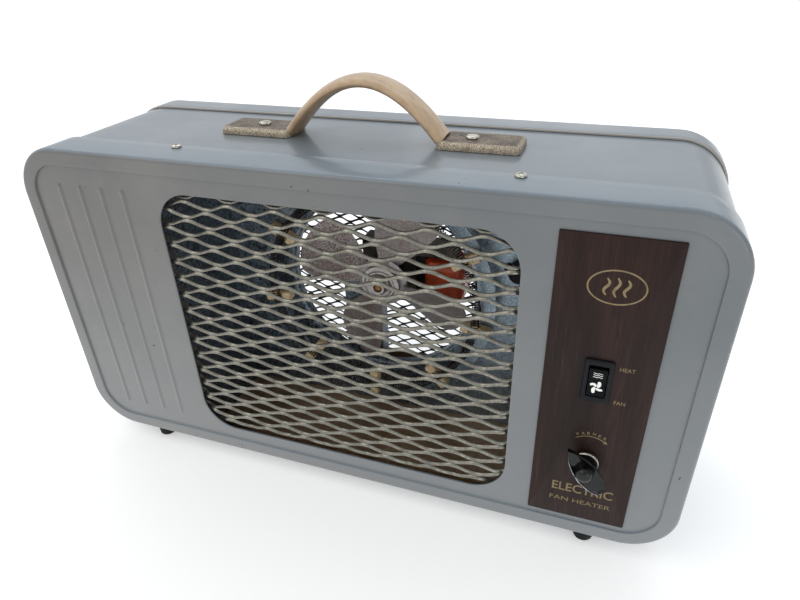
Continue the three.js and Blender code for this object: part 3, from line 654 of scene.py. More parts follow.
addCamera()
addLights()
addFloor()
print("camera, lights and floor ready")

# front and rear cover: flange is how far the pan reaches along Y. The ribs stand out left of the grille, at
# these X, ribReach up and down from the middle, with a flat crown, a slope on each side and a rise.
# panelRings and leftArcs are how finely the panel and the case's left corners are divided.
covers = {
    "front_cover": {"flange": 31, "ribX": (-205.7, -187.3, -168.9, -150.5), "ribReach": 98, "ribFlat": 0.6,
                    "ribSlope": 1.4, "ribRise": 1.0, "panelRings": 130, "leftArcs": 40},
    "rear_cover": {"flange": 24, "ribX": (), "ribReach": 0, "ribFlat": 1, "ribSlope": 1, "ribRise": 0,
                   "panelRings": 14, "leftArcs": 14},
}


# rings round the case's outline moved inwards by inset, one for each (inset, level)
def caseRings(profile, arcs):
    rings = []
    for inset, level in profile:
        flat = outline(caseWidth - 2 * inset, caseHeight - 2 * inset, case["corner"] - inset, arcs)
        rings.append(raised(flat, level, (0, middle)))
    return rings


# A pressed pan as one closed surface. The rings run from the window's edge over the panel, out over its
# step, along the rim, round the pressed edge, back along the flange to its lip, and home inside. On the
# panel a ring at fraction t is the window's outline blended t of the way to the panel's, and each rib
# lifts it by a cosine hump of the distance to the rib's middle line.
def coverPiece(name, finish, mirrored=False):
    c = covers[name]
    arcs = (14, c["leftArcs"], c["leftArcs"], 14)
    edge, sheet, step, rim = case["edge"], case["sheet"], case["step"], case["rim"]
    window = outline(case["windowWidth"], case["windowHeight"], case["windowCorner"], arcs)
    window[:, 1] += windowMiddle - middle
    panel = outline(caseWidth - 2 * rim, caseHeight - 2 * rim, case["corner"] - rim, arcs)
    blend = np.linspace(0, 1, c["panelRings"])[:, None, None]
    flat = window + (panel - window) * blend
    fromRib = np.full(flat.shape[:2], np.inf)
    for x in c["ribX"]:
        overEnd = np.maximum(np.abs(flat[..., 1]) - c["ribReach"], 0)
        fromRib = np.minimum(fromRib, np.hypot(flat[..., 0] - x, overEnd))
    hump = 0.5 + 0.5 * np.cos(np.pi * np.clip((fromRib - c["ribFlat"]) / c["ribSlope"], 0, 1))
    level = step - c["ribRise"] * hump
    level[0] = step + 0.35
    panelRings = np.stack([flat[..., 0], level, flat[..., 1] + middle], -1)
    hem = raised(window, step + sheet, (0, middle))
    angle = np.linspace(0, math.pi / 2, 9)
    rounded = [(edge * (1 - math.sin(a)), edge * (1 - math.cos(a))) for a in angle]
    front = [(rim - 0.1, step - 0.15), (rim - 0.22, step - 0.5), (rim - 0.34, 0.4), (rim - 0.5, 0.08),
             (rim - 0.9, 0), (rim - 3, 0), (edge + 0.8, 0)]
    flange = c["flange"]
    side = [(0, edge + (flange - edge) * t) for t in (0.33, 0.66)]
    turnedIn = case["bandStep"] - 0.3
    lip = [(0, flange - 0.9), (0.12, flange - 0.35), (0.5, flange), (turnedIn, flange),
           (turnedIn, flange - 2), (sheet, flange - 2.1)]
    bend = edge - sheet
    inner = [(edge - bend * math.sin(a), edge - bend * math.cos(a)) for a in angle[::-2]]
    back = [(rim - sheet, sheet), (rim - sheet + 0.05, step + sheet)]
    rings = np.concatenate([hem[None], panelRings,
                            np.array(caseRings(front + rounded + side + lip + inner + back, arcs))])
    if mirrored:
        rings = rings * (-1, -1, 1) + (0, caseDepth, 0)
    edges = np.zeros(rings.shape[:2])
    edgeStart = 1 + c["panelRings"] + len(front)
    lipStart = edgeStart + len(rounded) + len(side)
    edges[:2] = 0.9
    edges[edgeStart + 3:edgeStart + 6] = 1.0
    edges[lipStart + 1:lipStart + 4] = 2.0
    ringOfFace = np.arange(edges.size) // edges.shape[1]
    bare = ringOfFace >= len(rings) - len(inner) - len(back) - 2
    piece = addPiece(name.replace("_c", "C"), [shell(rings, loop=True)], finish, replaces=name,
                     marks={"edge": edges.ravel()}, inside=(caseInside, bare))
    markUpward(piece)
    return piece


# the band between the covers: a closed hoop with rolled ends, bare inside
def bandPiece():
    (_, front, _), (_, back, _) = span("casing_band")
    inset, roll, arcs = case["bandStep"], 0.3, (14, 14, 14, 14)
    outside = [(inset, front + roll + (back - front - 2 * roll) * t) for t in np.linspace(0, 1, 9)]
    inside = [(inset + case["sheet"], y) for _, y in outside[::-1]]
    profile = [(inset + roll, front)] + outside + [(inset + roll, back)] + inside
    rings = np.array(caseRings(profile, arcs))
    ringOfFace = np.arange(rings.shape[0] * rings.shape[1]) // rings.shape[1]
    bare = ringOfFace >= len(outside) + 1
    markUpward(addPiece("casingBand", [shell(rings, loop=True)], blueEnamel, replaces="casing_band",
                        inside=(caseInside, bare)))


# axis map for screws: local (a, b, out) to the case's x, y, z
def outward(points, direction):
    a, b, out = points[..., 0], points[..., 1], points[..., 2]
    if direction in ("up", "down"):
        return np.stack([a, b, out if direction == "up" else -out], -1)
    return np.stack([a, out if direction == "back" else -out, b], -1)


# A screw: rings of growing radius over a domed head, whose edge stands at 0.28 of its rise, then under it
# and down the shank. The drive is cut where a point lies within half the slot's width of either of its two
# lines, with slightly sloping walls.
def screwShell(spot, direction, head, rise, shank, length, drive, turn):
    radius = head * np.concatenate([np.linspace(0.02, 0.9, 15), [0.96, 1.0]])
    angle = np.linspace(0, 2 * math.pi, 56, endpoint=False)
    a, b = radius[:, None] * np.cos(angle), radius[:, None] * np.sin(angle)
    height = rise * (0.28 + 0.72 * np.sqrt(np.clip(1 - (radius / head) ** 2.4, 0, 1)))[:, None] + 0 * a
    half = head * 0.13
    u, v = a * math.cos(turn) + b * math.sin(turn), b * math.cos(turn) - a * math.sin(turn)
    inSlot = 1 - ease(np.abs(v), half * 0.8, half * 1.35)
    if drive == "cross":
        other = 1 - ease(np.abs(u), half * 0.8, half * 1.35)
        inSlot = np.maximum(inSlot, other) * (1 - ease(np.hypot(a, b), head * 0.5, head * 0.62))
    height = height - inSlot * rise * 0.62
    top = np.stack([a, b, height], -1)
    under = [np.stack([r * np.cos(angle), r * np.sin(angle), z + 0 * angle], -1) for r, z in
             ((head, 0.05), (head * 0.95, 0), (shank, 0), (shank, -length))]
    rings = outward(np.concatenate([top, np.array(under)]), direction)
    return shell(rings + np.asarray(spot, float))


# the three kinds of screw: sizes in millimetres, and whether the drive is one slot or a cross
screws = {"case": {"head": 3.6, "rise": 1.9, "shank": 1.8, "length": 7, "drive": "cross"},
          "handle": {"head": 4.4, "rise": 1.8, "shank": 2.0, "length": 8.5, "drive": "slot"},
          "motor": {"head": 2.8, "rise": 1.8, "shank": 1.6, "length": 20, "drive": "slot"}}


# one screw on each CAD screw, facing the way its name or place says, each turned on from the one before
def screwPieces():
    placed = []
    for side in ("left", "right"):
        for end, direction in (("top", "up"), ("bottom", "down")):
            placed.append((f"cover_screw_{end}_{side}", direction, "case"))
        for level in ("lower", "upper"):
            placed.append((f"rear_screw_{level}_{side}", "back", "case"))
        placed.append((f"handle_screw_{side}", "up", "handle"))
    placed += [("motor_bolt_lower", "front", "motor"), ("motor_bolt_upper", "front", "motor")]
    for k, (node, direction, kind) in enumerate(placed):
        low, high = span(node)
        spot = (low + high) / 2
        axis = 2 if direction in ("up", "down") else 1
        outermost, sign = (high, 1) if direction in ("up", "back") else (low, -1)
        spot[axis] = outermost[axis] - sign * screws[kind]["rise"]
        body = screwShell(spot, direction, turn=0.7 + 1.3 * k, **screws[kind])
        addPiece(node.replace("_", " ").title().replace(" ", ""), [body], screwSteel, replaces=node)


# rubber feet: a flared foot with a counterbore for its fixing screw
def footPieces():
    for end in ("front", "rear"):
        for side in ("left", "right"):
            low, high = span(f"foot_{end}_{side}")
            x, y = (low[:2] + high[:2]) / 2
            radius, tall = (high[0] - low[0]) / 2, high[2] - low[2]
            profile = [(0.1, 2.5), (2.4, 2.5), (2.7, 2.2), (2.9, 0.2), (3.3, 0), (radius - 1.7, 0),
                       (radius - 1.0, 0.25), (radius - 0.6, 0.9), (radius - 0.15, tall - 5),
                       (radius, tall - 3.4), (radius, tall - 0.8), (radius - 0.3, tall), (0.1, tall)]
            body = shell(turned(profile, (x, y, low[2]), "z", 40))
            addPiece(f"rubberFoot{end.title()}{side.title()}", [body], rubberBlack,
                     replaces=f"foot_{end}_{side}")


frontPan = coverPiece("front_cover", greyEnamel)
coverPiece("rear_cover", blueEnamel, mirrored=True)
bandPiece()
screwPieces()
footPieces()
print("case ready")

# Expanded metal. pitch and row are a cell's width and height, bond how long two strands run together,
# wide and thick a strand's own section, tilt its lean in degrees, curl how far the rim turns back, stepX
# the spacing of its points and shiftZ how far the rows sit above the window's middle.
meshes = {
    "front_grille": {"pitch": 34.2, "row": 13.7, "bond": 4.2, "wide": 2.6, "thick": 1.1, "tilt": 40,
                     "curl": 2.6, "stepX": 1.3, "shiftZ": -4.85},
    "rear_grille": {"pitch": 19.0, "row": 9.4, "bond": 2.4, "wide": 2.3, "thick": 0.8, "tilt": 25,
                    "curl": 1.2, "stepX": 1.6, "shiftZ": 0},
}


# Each strand is a flat section carried along X. Its middle line is a zigzag with its peaks cut level, so
# that it runs beside the strand above at every other peak and the strand below in between. The section
# leans, lower edge forwards; a strand sits back where it hangs from the one below and forwards where it
# carries the one above, so the two meet in one bond. Near the window's edge the sheet curls back.
def grillePiece(name, finish, mirrored=False):
    g = meshes[name]
    (_, front, _), (_, back, _) = span(name)
    level = (caseDepth - (front + back) / 2) if mirrored else (front + back) / 2
    tilt = math.radians(g["tilt"])
    rise, lean = math.cos(tilt), math.sin(tilt)
    margin = case["windowMargin"] - 2.5  # how far the sheet reaches behind the panel round the window
    halfW, halfH = case["windowWidth"] / 2 + margin, case["windowHeight"] / 2 + margin
    corner = case["windowCorner"] + margin
    w, t = g["wide"] / 2, g["thick"] / 2
    section = np.array([(-w, -t * 0.6), (-w + 0.3, -t), (w - 0.3, -t), (w, -t * 0.6), (w, t * 0.6),
                        (w - 0.3, t), (-w + 0.3, t), (-w, t * 0.6)])
    alongZ = section[:, 0] * rise + section[:, 1] * lean
    alongY = section[:, 0] * lean - section[:, 1] * rise
    half = (g["row"] / 2 - g["wide"] * rise) / 2
    strands = []
    count = int(halfH / (g["row"] / 2)) + 1
    for k in range(-count, count + 1):
        z = (k + 0.5) * g["row"] / 2 + g["shiftZ"]
        if abs(z) > halfH - g["row"] * 0.25:
            continue
        reach = halfW - corner + math.sqrt(max(corner ** 2 - max(abs(z) - halfH + corner, 0) ** 2, 0))
        x = np.linspace(-reach, reach, max(int(2 * reach / g["stepX"]), 12))
        phase = np.abs((x / g["pitch"]) % 1.0 - 0.5) * 4 - 1
        flatten = 1 / (1 - 2 * g["bond"] / g["pitch"])
        wave = np.clip(phase * flatten, -1, 1) * (1 if k % 2 == 0 else -1)
        wave = wave * (1.16 - 0.16 * wave ** 2)  # softens the zigzag into its level peaks
        centreZ = z + half * wave
        edgeX, edgeZ = halfW - np.abs(x), halfH - np.abs(centreZ)
        cornerX, cornerZ = np.maximum(corner - edgeX, 0), np.maximum(corner - edgeZ, 0)
        inCorner = (edgeX < corner) & (edgeZ < corner)
        inwards = np.where(inCorner, corner - np.hypot(cornerX, cornerZ), np.minimum(edgeX, edgeZ))
        curl = g["curl"] * (1 - ease(inwards, margin - 1, margin + 7)) ** 1.5
        centreY = level - w * lean * wave + curl
        ring = np.stack([x[:, None] + 0 * alongZ, centreY[:, None] + alongY,
                         centreZ[:, None] + alongZ + windowMiddle], -1)
        if mirrored:
            ring = ring * (-1, -1, 1) + (0, caseDepth, 0)
        strands.append(shell(ring))
    piece = name.replace("_g", "G")
    addPiece(piece, strands, finish, replaces=name,
             sharp=50)


grillePiece("front_grille", meshPlate)
grillePiece("rear_grille", darkMesh, mirrored=True)
print("grilles ready")

# shroud: a plate with a rolled-in throat, blended from the throat's circle to the plate's rectangle
shroud = {"throat": 78, "roll": 3.2, "thick": 1.2}


def shroudPiece():
    (left, front, bottom), (right, back, top) = span("fan_shroud")
    half = np.array([(right - left) / 2, (top - bottom) / 2])
    angle = np.linspace(0, 2 * math.pi, 160, endpoint=False)
    way = np.stack([np.cos(angle), np.sin(angle)], -1)
    edge = way * np.min(half / np.maximum(np.abs(way), 1e-6), axis=1)[:, None]

    def ring(radius, level, outwards=0.0):
        flat = way * radius + (edge - way * radius) * outwards
        return raised(flat, level, (0, middle))

    r, roll, thick = shroud["throat"], shroud["roll"], shroud["thick"]
    quarter = np.linspace(0, math.pi / 2, 7)
    bend = [(r + roll * (1 - math.sin(a)), front + roll * (1 - math.cos(a))) for a in quarter]
    throat = [(r, back - 0.4), (r + 0.4, back), (r + thick, back), (r + thick, front + roll)]
    rings = [ring(r + roll, front, t) for t in (1, 0.995, 0.6, 0.3, 0.1)]
    rings += [ring(radius, y) for radius, y in bend + throat]
    rings += [ring(r + roll, front + thick, t) for t in (0, 0.3, 1)]
    addPiece("fanShroud", [shell(rings, loop=True)], zincSheet, replaces="fan_shroud")


# fan: a paddle's outline as two edges from root to tip, how far it is pitched and cambered, how much dust
# each of the four carries, and the hub's profile as radius and distance behind its front
fan = {"blades": 4, "start": -20, "rootPitch": 34, "tipPitch": 24, "camber": 2.6, "thick": 1.3,
       "dust": (0.25, 0.6625, 1.0, 0.6625),
       "hub": ((3.4, 0.4), (3.7, 0), (5.6, 0), (6.0, 0.5), (6.9, 2), (6.9, 5.6), (7.4, 6), (10.2, 5.6),
               (10.8, 5.0), (12.2, 5.0), (12.8, 5.7), (13.6, 6), (16.1, 6), (16.5, 6.4), (16.5, 9.4),
               (6.9, 9.4)),
       "lower": ((18, -8), ((32, -22), (50, -29)), ((69, -32), (73, -10)), ((74.2, -5), (74.4, 0))),
       "upper": ((18, 8), ((24, 11), (34, 16)), ((52, 24), (66, 20)), ((74.6, 10), (74.4, 0)))}


# A paddle is a pair of sheets between its two edges: a point at t across is blended from the lower edge
# to the upper one, bowed back by a parabola in t, then pitched about the paddle's own length.
def bladeShells():
    centre = pivot("fan_spin")
    y = centreOf("fan_blades")[1]
    lower = curveThrough(fan["lower"][0], *fan["lower"][1:], steps=16)
    upper = curveThrough(fan["upper"][0], *fan["upper"][1:], steps=16)
    t = np.linspace(0, 1, 22)
    rows = []
    for sheetSide, order in ((-0.5, t), (0.5, t[::-1])):
        flat = lower[:, None] + (upper - lower)[:, None] * order[None, :, None]
        u, v = flat[..., 0], flat[..., 1]
        bow = fan["camber"] * (1 - (2 * order - 1) ** 2)[None] * ease(u, 18, 45)
        pitch = np.radians(fan["rootPitch"] + (fan["tipPitch"] - fan["rootPitch"]) * (u - 18) / 57)
        along = bow + sheetSide * fan["thick"]
        depth = -v * np.sin(pitch) + along * np.cos(pitch)
        rise = v * np.cos(pitch) + along * np.sin(pitch)
        rows.append((u, depth, rise))
    u, depth, rise = (np.concatenate([rows[0][k], rows[1][k]], 1) for k in range(3))
    shells, dust = [], []
    for k in range(fan["blades"]):
        angle = math.radians(fan["start"] + k * 360 / fan["blades"])
        x = u * math.cos(angle) - rise * math.sin(angle)
        z = u * math.sin(angle) + rise * math.cos(angle)
        made = shell(np.stack([x + centre[0], depth + y, z + centre[2]], -1)[:-1])
        shells.append(made)
        dust.append(np.full(len(made[0]), fan["dust"][k]))
    return shells, np.concatenate(dust)


# the four paddles with the plate that holds them, the stepped hub and the shaft
def fanPieces():
    shells, dust = bladeShells()
    x, _, z = pivot("fan_spin")
    y = centreOf("fan_blades")[1]
    rings = [(7.4, y - 0.8), (20.4, y - 0.8), (21, y - 0.4), (21, y + 0.4), (20.4, y + 0.8), (7.4, y + 0.8)]
    plate = shell(turned(rings, (x, 0, z)), loop=True)
    addPiece("fanBlades", shells + [plate], bladeMetal, "fan", "fan_blades",
             marks={"dust": dust})
    (_, front, _), (_, back, _) = span("fan_hub")
    rings = [(radius, front + step) for radius, step in fan["hub"]] + [(6.9, back), (3.4, back)]
    hub = shell(turned(rings, (x, 0, z), around=64), loop=True)
    addPiece("fanHub", [hub], hubMetal, "fan", "fan_hub")
    low, high = span("motor_shaft")
    r = (high[0] - low[0]) / 2
    rings = [(0.1, low[1]), (r - 0.6, low[1]), (r, low[1] + 0.6), (r, high[1] - 0.6), (r - 0.6, high[1]),
             (0.1, high[1])]
    shaft = shell(turned(rings, (x, 0, z), around=32))
    addPiece("motorShaft", [shaft], bronzeBush, "fan", "motor_shaft")


shroudPiece()
fanPieces()
print("fan ready")

# heating element: a fine helix on a ring, held in notched ceramic rods. first is the angle of the first
# rod and gap the stretch of the ring, in degrees, that the helix leaves free.
element = {"ring": 85, "coil": 3.1, "wire": 0.42, "turns": 260, "perTurn": 10, "sides": 5, "rods": 9,
           "first": 28.8, "gap": (344, 352), "rodLength": 23, "rodWidth": 8, "rodCorner": 1.6, "notch": 4.7}


# a point on the helix goes round the ring once while it goes round the coil's own circle many times
def coilPiece():
    y = centreOf("heating_coil")[1]
    t = np.linspace(0, 1, element["turns"] * element["perTurn"])
    around = np.radians(element["gap"][1] - 360 + (element["gap"][0] + 360 - element["gap"][1]) * t)
    twist = 2 * math.pi * element["turns"] * t
    wander = 0.35 * np.sin(23 * around) + 0.25 * np.sin(41 * around + 1)
    reach = element["ring"] + element["coil"] * np.cos(twist) * 0.97 + wander
    path = np.stack([reach * np.cos(around), y + element["coil"] * np.sin(twist) * 0.97,
                     middle + reach * np.sin(around)], -1)
    addPiece("heatingCoil", [shell(tube(path, element["wire"], element["sides"]))], elementWire,
             replaces="heating_coil", sharp=80)


# A rod is a rounded section carried along its length s. It shrinks over the last millimetre at each end,
# and its front dips by a circle round the coil.
def rodPieces():
    boxes = [span(f"insulator_{k + 1}") for k in range(element["rods"])]
    front, back = min(low[1] for low, _ in boxes), max(high[1] for _, high in boxes)
    length = element["rodLength"]
    ends = np.array([0, 0.35, 1.0])
    s = np.concatenate([ends, np.linspace(1.8, length - 1.8, 36), length - ends[::-1]])
    pinch = np.minimum(s, length - s)
    taper = 1 - 0.16 * (1 - np.clip(pinch, 0, 1)) ** 2
    flat = outline(element["rodWidth"], back - front, element["rodCorner"], (5, 5, 5, 5), 5, 5)
    dip = np.sqrt(np.clip(element["notch"] ** 2 - (s - length / 2 + 0.5) ** 2, 0, None))
    dip = np.maximum(dip - 1, 0)
    across, deep = flat[None, :, 0] * taper[:, None], flat[None, :, 1] * taper[:, None]
    level = np.maximum((front + back) / 2 + deep, (front + dip)[:, None])
    radial = (element["ring"] + 0.5 - length / 2 + s)[:, None] + 0 * across
    for k in range(element["rods"]):
        angle = math.radians(element["first"] + k * 360 / element["rods"])
        x = radial * math.cos(angle) - across * math.sin(angle)
        z = radial * math.sin(angle) + across * math.cos(angle)
        addPiece(f"ceramicRod{k + 1}", [shell(np.stack([x, level, z + middle], -1))], clay,
                 replaces=f"insulator_{k + 1}", sharp=50)


# terminal bush with the loop of wire end round it, and the thermal cut-out beside it
def terminalPieces():
    low, high = span("terminal_bush")
    x, _, z = centreOf("terminal_bush")
    r = (high[0] - low[0]) / 2
    rings = [(2.2, high[1]), (2.2, low[1] + 0.5), (2.7, low[1]), (4.0, low[1]), (4.4, low[1] + 0.9),
             (5.4, low[1] + 1.2), (r - 0.3, low[1] + 1.4), (r, low[1] + 1.9), (r, high[1])]
    addPiece("terminalBush", [shell(turned(rings, (x, 0, z), "y", 40), loop=True)], clay,
             replaces="terminal_bush")
    angle = np.radians(np.linspace(-60, 215, 40))
    hook = np.stack([x + 3.3 * np.cos(angle), low[1] - 0.6 + 0 * angle, z + 3.3 * np.sin(angle)], -1)
    tail = np.stack([np.linspace(-5.4, -15, 14) + x, np.linspace(low[1] - 0.9, low[1] - 16, 14),
                     z - 2 + 2.5 * np.sin(np.linspace(0, 1.6, 14))], -1)
    addPiece("terminalHook", [shell(tube(np.vstack([tail[::-1], hook[::-1]]), 0.75, 8))], elementWire)
    low, high = span("thermal_cutout")
    x, _, z = centreOf("thermal_cutout")
    can = turned([(0.1, low[1] + 0.3), (6.0, low[1] + 0.3), (6.6, low[1]), (7.4, low[1]), (8, low[1] + 0.6),
                  (8, high[1] - 2), (8, high[1]), (0.1, high[1])], (x, 0, z), "y", 40)
    ears = stacked([(23, 7, 3, high[1] - 2), (24, 8, 3.5, high[1] - 1.6), (24, 8, 3.5, high[1])], (x, z))
    addPiece("thermalCutout", [shell(can), shell(ears)], blackSatin, replaces="thermal_cutout")


coilPiece()
rodPieces()
terminalPieces()
print("element ready")

# motor: how far the wound coil draws in at each fraction of its height, the radius of its corners, and the
# black sheet in the stator's window, there as painted shade: from and to along X from the shaft, and half its
# height
motor = {"coilInset": ((0, 3.5), (0.02, 1.6), (0.07, 0.5), (0.2, 0.1), (0.5, 0), (0.8, 0.1), (0.93, 0.5),
                       (0.98, 1.6), (1, 3.5)),
         "coilCorner": 7, "shadeSheetX": (22.2, 30.5), "shadeSheetHalf": 16.8}


# the wound coil, a black sheet beside it as painted shade, and the bearings in their brackets
def motorPieces():
    low, high = span("motor_coil")
    size = high - low
    levels = [(size[0] - 2 * inset, size[1] - 2 * inset, motor["coilCorner"] - inset * 0.5,
               low[2] + size[2] * t) for t, inset in motor["coilInset"]]
    coil = shell(stacked(levels, centreOf("motor_coil")[:2], "z"))
    addPiece("motorCoil", [coil], copperWire, replaces="motor_coil")
    low, high = span("motor_stator")
    left, right = (pivot("fan_spin")[0] + x for x in motor["shadeSheetX"])
    half = motor["shadeSheetHalf"]
    # a black sheet that stands in for shade in the stator's window
    shadeSheet = boxShell((left, low[1] + 1, middle - half), (right, high[1] - 1, middle + half))
    addPiece("coilShadeSheet", [shadeSheet], blackSatin)
    for end in ("front", "rear"):
        low, high = span(f"bearing_{end}")
        x, _, z = centreOf(f"bearing_{end}")
        r = (high[0] - low[0]) / 2
        rings = [(3.3, low[1] + 0.5), (3.7, low[1]), (r - 0.6, low[1]), (r, low[1] + 0.6), (r, high[1] - 0.6),
                 (r - 0.6, high[1]), (3.7, high[1]), (3.3, high[1] - 0.5)]
        addPiece(f"bearing{end.title()}", [shell(turned(rings, (x, 0, z), "y", 36), loop=True)], bronzeBush,
                 replaces=f"bearing_{end}")


motorPieces()
print("motor ready")

# controls on the fascia: the switch's bezel, the pocket in it and its housing behind, how much wider its
# hole is on each side, how deep the pocket is, the spindle's hole and from where to where the holes run
controls = {"bezelWidth": 17, "bezelHeight": 31, "bezelRise": 1.8, "openWidth": 11.1, "openHeight": 22.8,
            "bodyWidth": 13.2, "bodyHeight": 27.6, "clearance": 0.4, "pocketFloor": 19, "spindleHole": 4.9,
            "holeY": (-3, 6)}


# the fascia is a bevelled plate; it comes back with the level of its face
def fasciaPiece():
    low, high = span("control_fascia")
    width, height = high[0] - low[0], high[2] - low[2]
    centre = centreOf("control_fascia")[[0, 2]]
    levels = [(width - 0.7, height - 0.7, 0.6, low[1]), (width - 0.3, height - 0.3, 0.7, low[1] + 0.1),
              (width, height, 0.8, low[1] + 0.4), (width, height, 0.8, high[1])]
    plate = addPiece("controlFascia", [shell(stacked(levels, centre, arcs=(4, 4, 4, 4), wide=10, tall=30))],
                     walnut, replaces="control_fascia")
    return plate, low[1]


# the openings for the switch's housing and the spindle, as solids to cut with
def holesForControls():
    c = controls
    begin, end = c["holeY"]
    halfW, halfH = c["bodyWidth"] / 2 + c["clearance"], c["bodyHeight"] / 2 + c["clearance"]
    x, _, z = pivot("rocker_tilt")
    slot = boxShell((x - halfW, begin, z - halfH), (x + halfW, end, z + halfH))
    x, _, z = pivot("thermostat_turn")
    bore = shell(turned([(c["spindleHole"], begin), (c["spindleHole"], end)], (x, 0, z), around=40))
    return [slot, bore]


# Switch body: one surface from the pocket's floor, out over the bezel and back along the housing. Each
# step is how much wider and taller it is than that part, its corner and its level.
def switchPiece():
    c = controls
    x, _, z = pivot("rocker_tilt")
    (_, front, _), (_, back, _) = span("switch_body")
    plate = front + c["bezelRise"]
    steps = {"open": [(0, 0.4, c["pocketFloor"]), (0, 0.4, front + 0.5), (0.5, 0.6, front + 0.12),
                      (1.2, 0.9, front)],
             "bezel": [(-2.0, 1.3, front), (-0.9, 1.5, front + 0.25), (-0.2, 1.6, front + 0.9),
                       (0, 1.6, plate - 0.1), (0, 1.6, plate)],
             "body": [(0, 0.8, plate + 0.02), (0, 0.8, back)]}
    levels = [(c[part + "Width"] + grow, c[part + "Height"] + grow, corner, level)
              for part in steps for grow, corner, level in steps[part]]
    addPiece("switchBody", [shell(stacked(levels, (x, z), arcs=(8, 8, 8, 8), wide=6, tall=10))], blackSatin,
             replaces="switch_body")


# the rocker's width, the dip of its V, where its crown and tips are from the pivot, its keel and its edges
rocker = {"width": 10.3, "dip": 0.9, "crown": 5.9, "tip": 9.9, "keel": 5.2, "edge": 0.45}


# how far before the pivot the rocker's face is at height up from it: a shallow V, softened to the power 1.25
def rockerFace(up):
    return rocker["crown"] - rocker["dip"] * (1 - np.abs(up / rocker["tip"]) ** 1.25)


# The rocker's side view is closed: its face in front, then a keel that follows a circle-like curve behind.
# That outline is carried across the rocker and shrunk a little at both ends for its rounded edges.
def rockerPiece():
    x, y, z = pivot("rocker_tilt")
    r = rocker
    up = np.linspace(-r["tip"], r["tip"], 40)
    frontLine = -rockerFace(up)
    frontLine[[0, -1]] += 0.35
    back = np.radians(np.linspace(80, -80, 30))
    keelZ = r["tip"] * np.sin(back)
    keelY = (r["keel"] + 0.6) * np.cos(back) ** 0.9 - 1.0
    side = np.column_stack([np.concatenate([frontLine, keelY]), np.concatenate([up, keelZ])])
    fromMiddle = side - (-1.0, 0.0)
    size = np.linalg.norm(fromMiddle, axis=1, keepdims=True)
    half, edge = r["width"] / 2, r["edge"]
    ends = ((-half, edge), (-half + 0.12, 0.2), (-half + edge, 0), (half - edge, 0), (half - 0.12, 0.2),
            (half, edge))
    rings = []
    for across, shrink in ends:
        flat = side - fromMiddle * shrink / size
        rings.append(np.stack([np.full(len(flat), x + across), y + flat[:, 0], z + flat[:, 1]], -1))
    addPiece("switchRocker", [shell(rings)], blackRocker, "rocker", "switch_rocker")


# a flat stroke: a low rectangular section carried along a line drawn on the face at level y
def stroke(line, width, level, rise=0.06, closed=False):
    line = np.asarray(line, float)
    ahead = np.roll(line, -1, 0) - np.roll(line, 1, 0) if closed else np.gradient(line, axis=0)
    ahead = ahead / np.linalg.norm(ahead, axis=1, keepdims=True)
    beside = np.stack([-ahead[:, 1], ahead[:, 0]], -1) * np.reshape(width, (-1, 1)) / 2
    left, right = line + beside, line - beside
    level = np.broadcast_to(level, len(line))
    corners = [(left, level + 0.05), (left, level - rise), (right, level - rise), (right, level + 0.05)]
    ring = np.stack([np.stack([p[:, 0], y, p[:, 1]], -1) for p, y in corners], 1)
    return shell(ring, loop=closed)


# points on a circle from one angle to another, in degrees
def arcLine(x, z, radius, begin, end, steps=28):
    angle = np.radians(np.linspace(begin, end, steps))
    return np.stack([x + radius * np.cos(angle), z + radius * np.sin(angle)], -1)


# generic lettering: a text object turned into a mesh, fitted to a width and height, turned about its
# own middle and stood up on the face at level y
def lettering(words, x, z, width, height, level, turn=0.0, bold=0.0, rise=0.06):
    data = bpy.data.curves.new("lettering", "FONT")
    data.body = words
    data.extrude = 0.5
    data.offset = bold
    data.resolution_u = 4
    text = addObject("lettering", data)
    bpy.context.view_layer.update()
    mesh = bpy.data.meshes.new_from_object(text.evaluated_get(bpy.context.evaluated_depsgraph_get()))
    bpy.data.objects.remove(text)
    points = np.empty(len(mesh.vertices) * 3)
    mesh.vertices.foreach_get("co", points)
    points = points.reshape(-1, 3)
    low, high = points.min(0), points.max(0)
    u = (points[:, 0] - (low[0] + high[0]) / 2) * width / (high[0] - low[0])
    v = (points[:, 1] - (low[1] + high[1]) / 2) * height / (high[1] - low[1])
    cosine, sine = math.cos(math.radians(turn)), math.sin(math.radians(turn))
    depth = level - rise / 2 - points[:, 2] * (rise + 0.06)
    placed = np.stack([x + u * cosine - v * sine, depth, z + u * sine + v * cosine], -1)
    return placed, [tuple(p.vertices) for p in mesh.polygons]


# letterings, which have faces of many corners, as one piece
def addLettering(name, parts, finish):
    points, faces, start = [], [], 0
    for corners, polygons in parts:
        points.append(corners)
        faces += [tuple(v + start for v in polygon) for polygon in polygons]
        start += len(corners)
    meshPiece(name, np.vstack(points), faces, finish)


# marks printed in gold: a heat emblem, an arrow that shows which way is warmer, labels and words below.
# label is X and both levels; word and small are x, z, width and height.
marks = {"emblem": (176.5, 201), "emblemSize": (15.5, 10.5), "arrow": (176.8, 77.5), "arrowRadius": 14.8,
         "label": (190.4, 147.6, 122.6), "labelSize": (8.6, 2.7), "word": (177, 43.7, 39.5, 7.6),
         "small": (176.6, 32.2, 40, 3.7), "letterSize": (1.9, 2.3)}


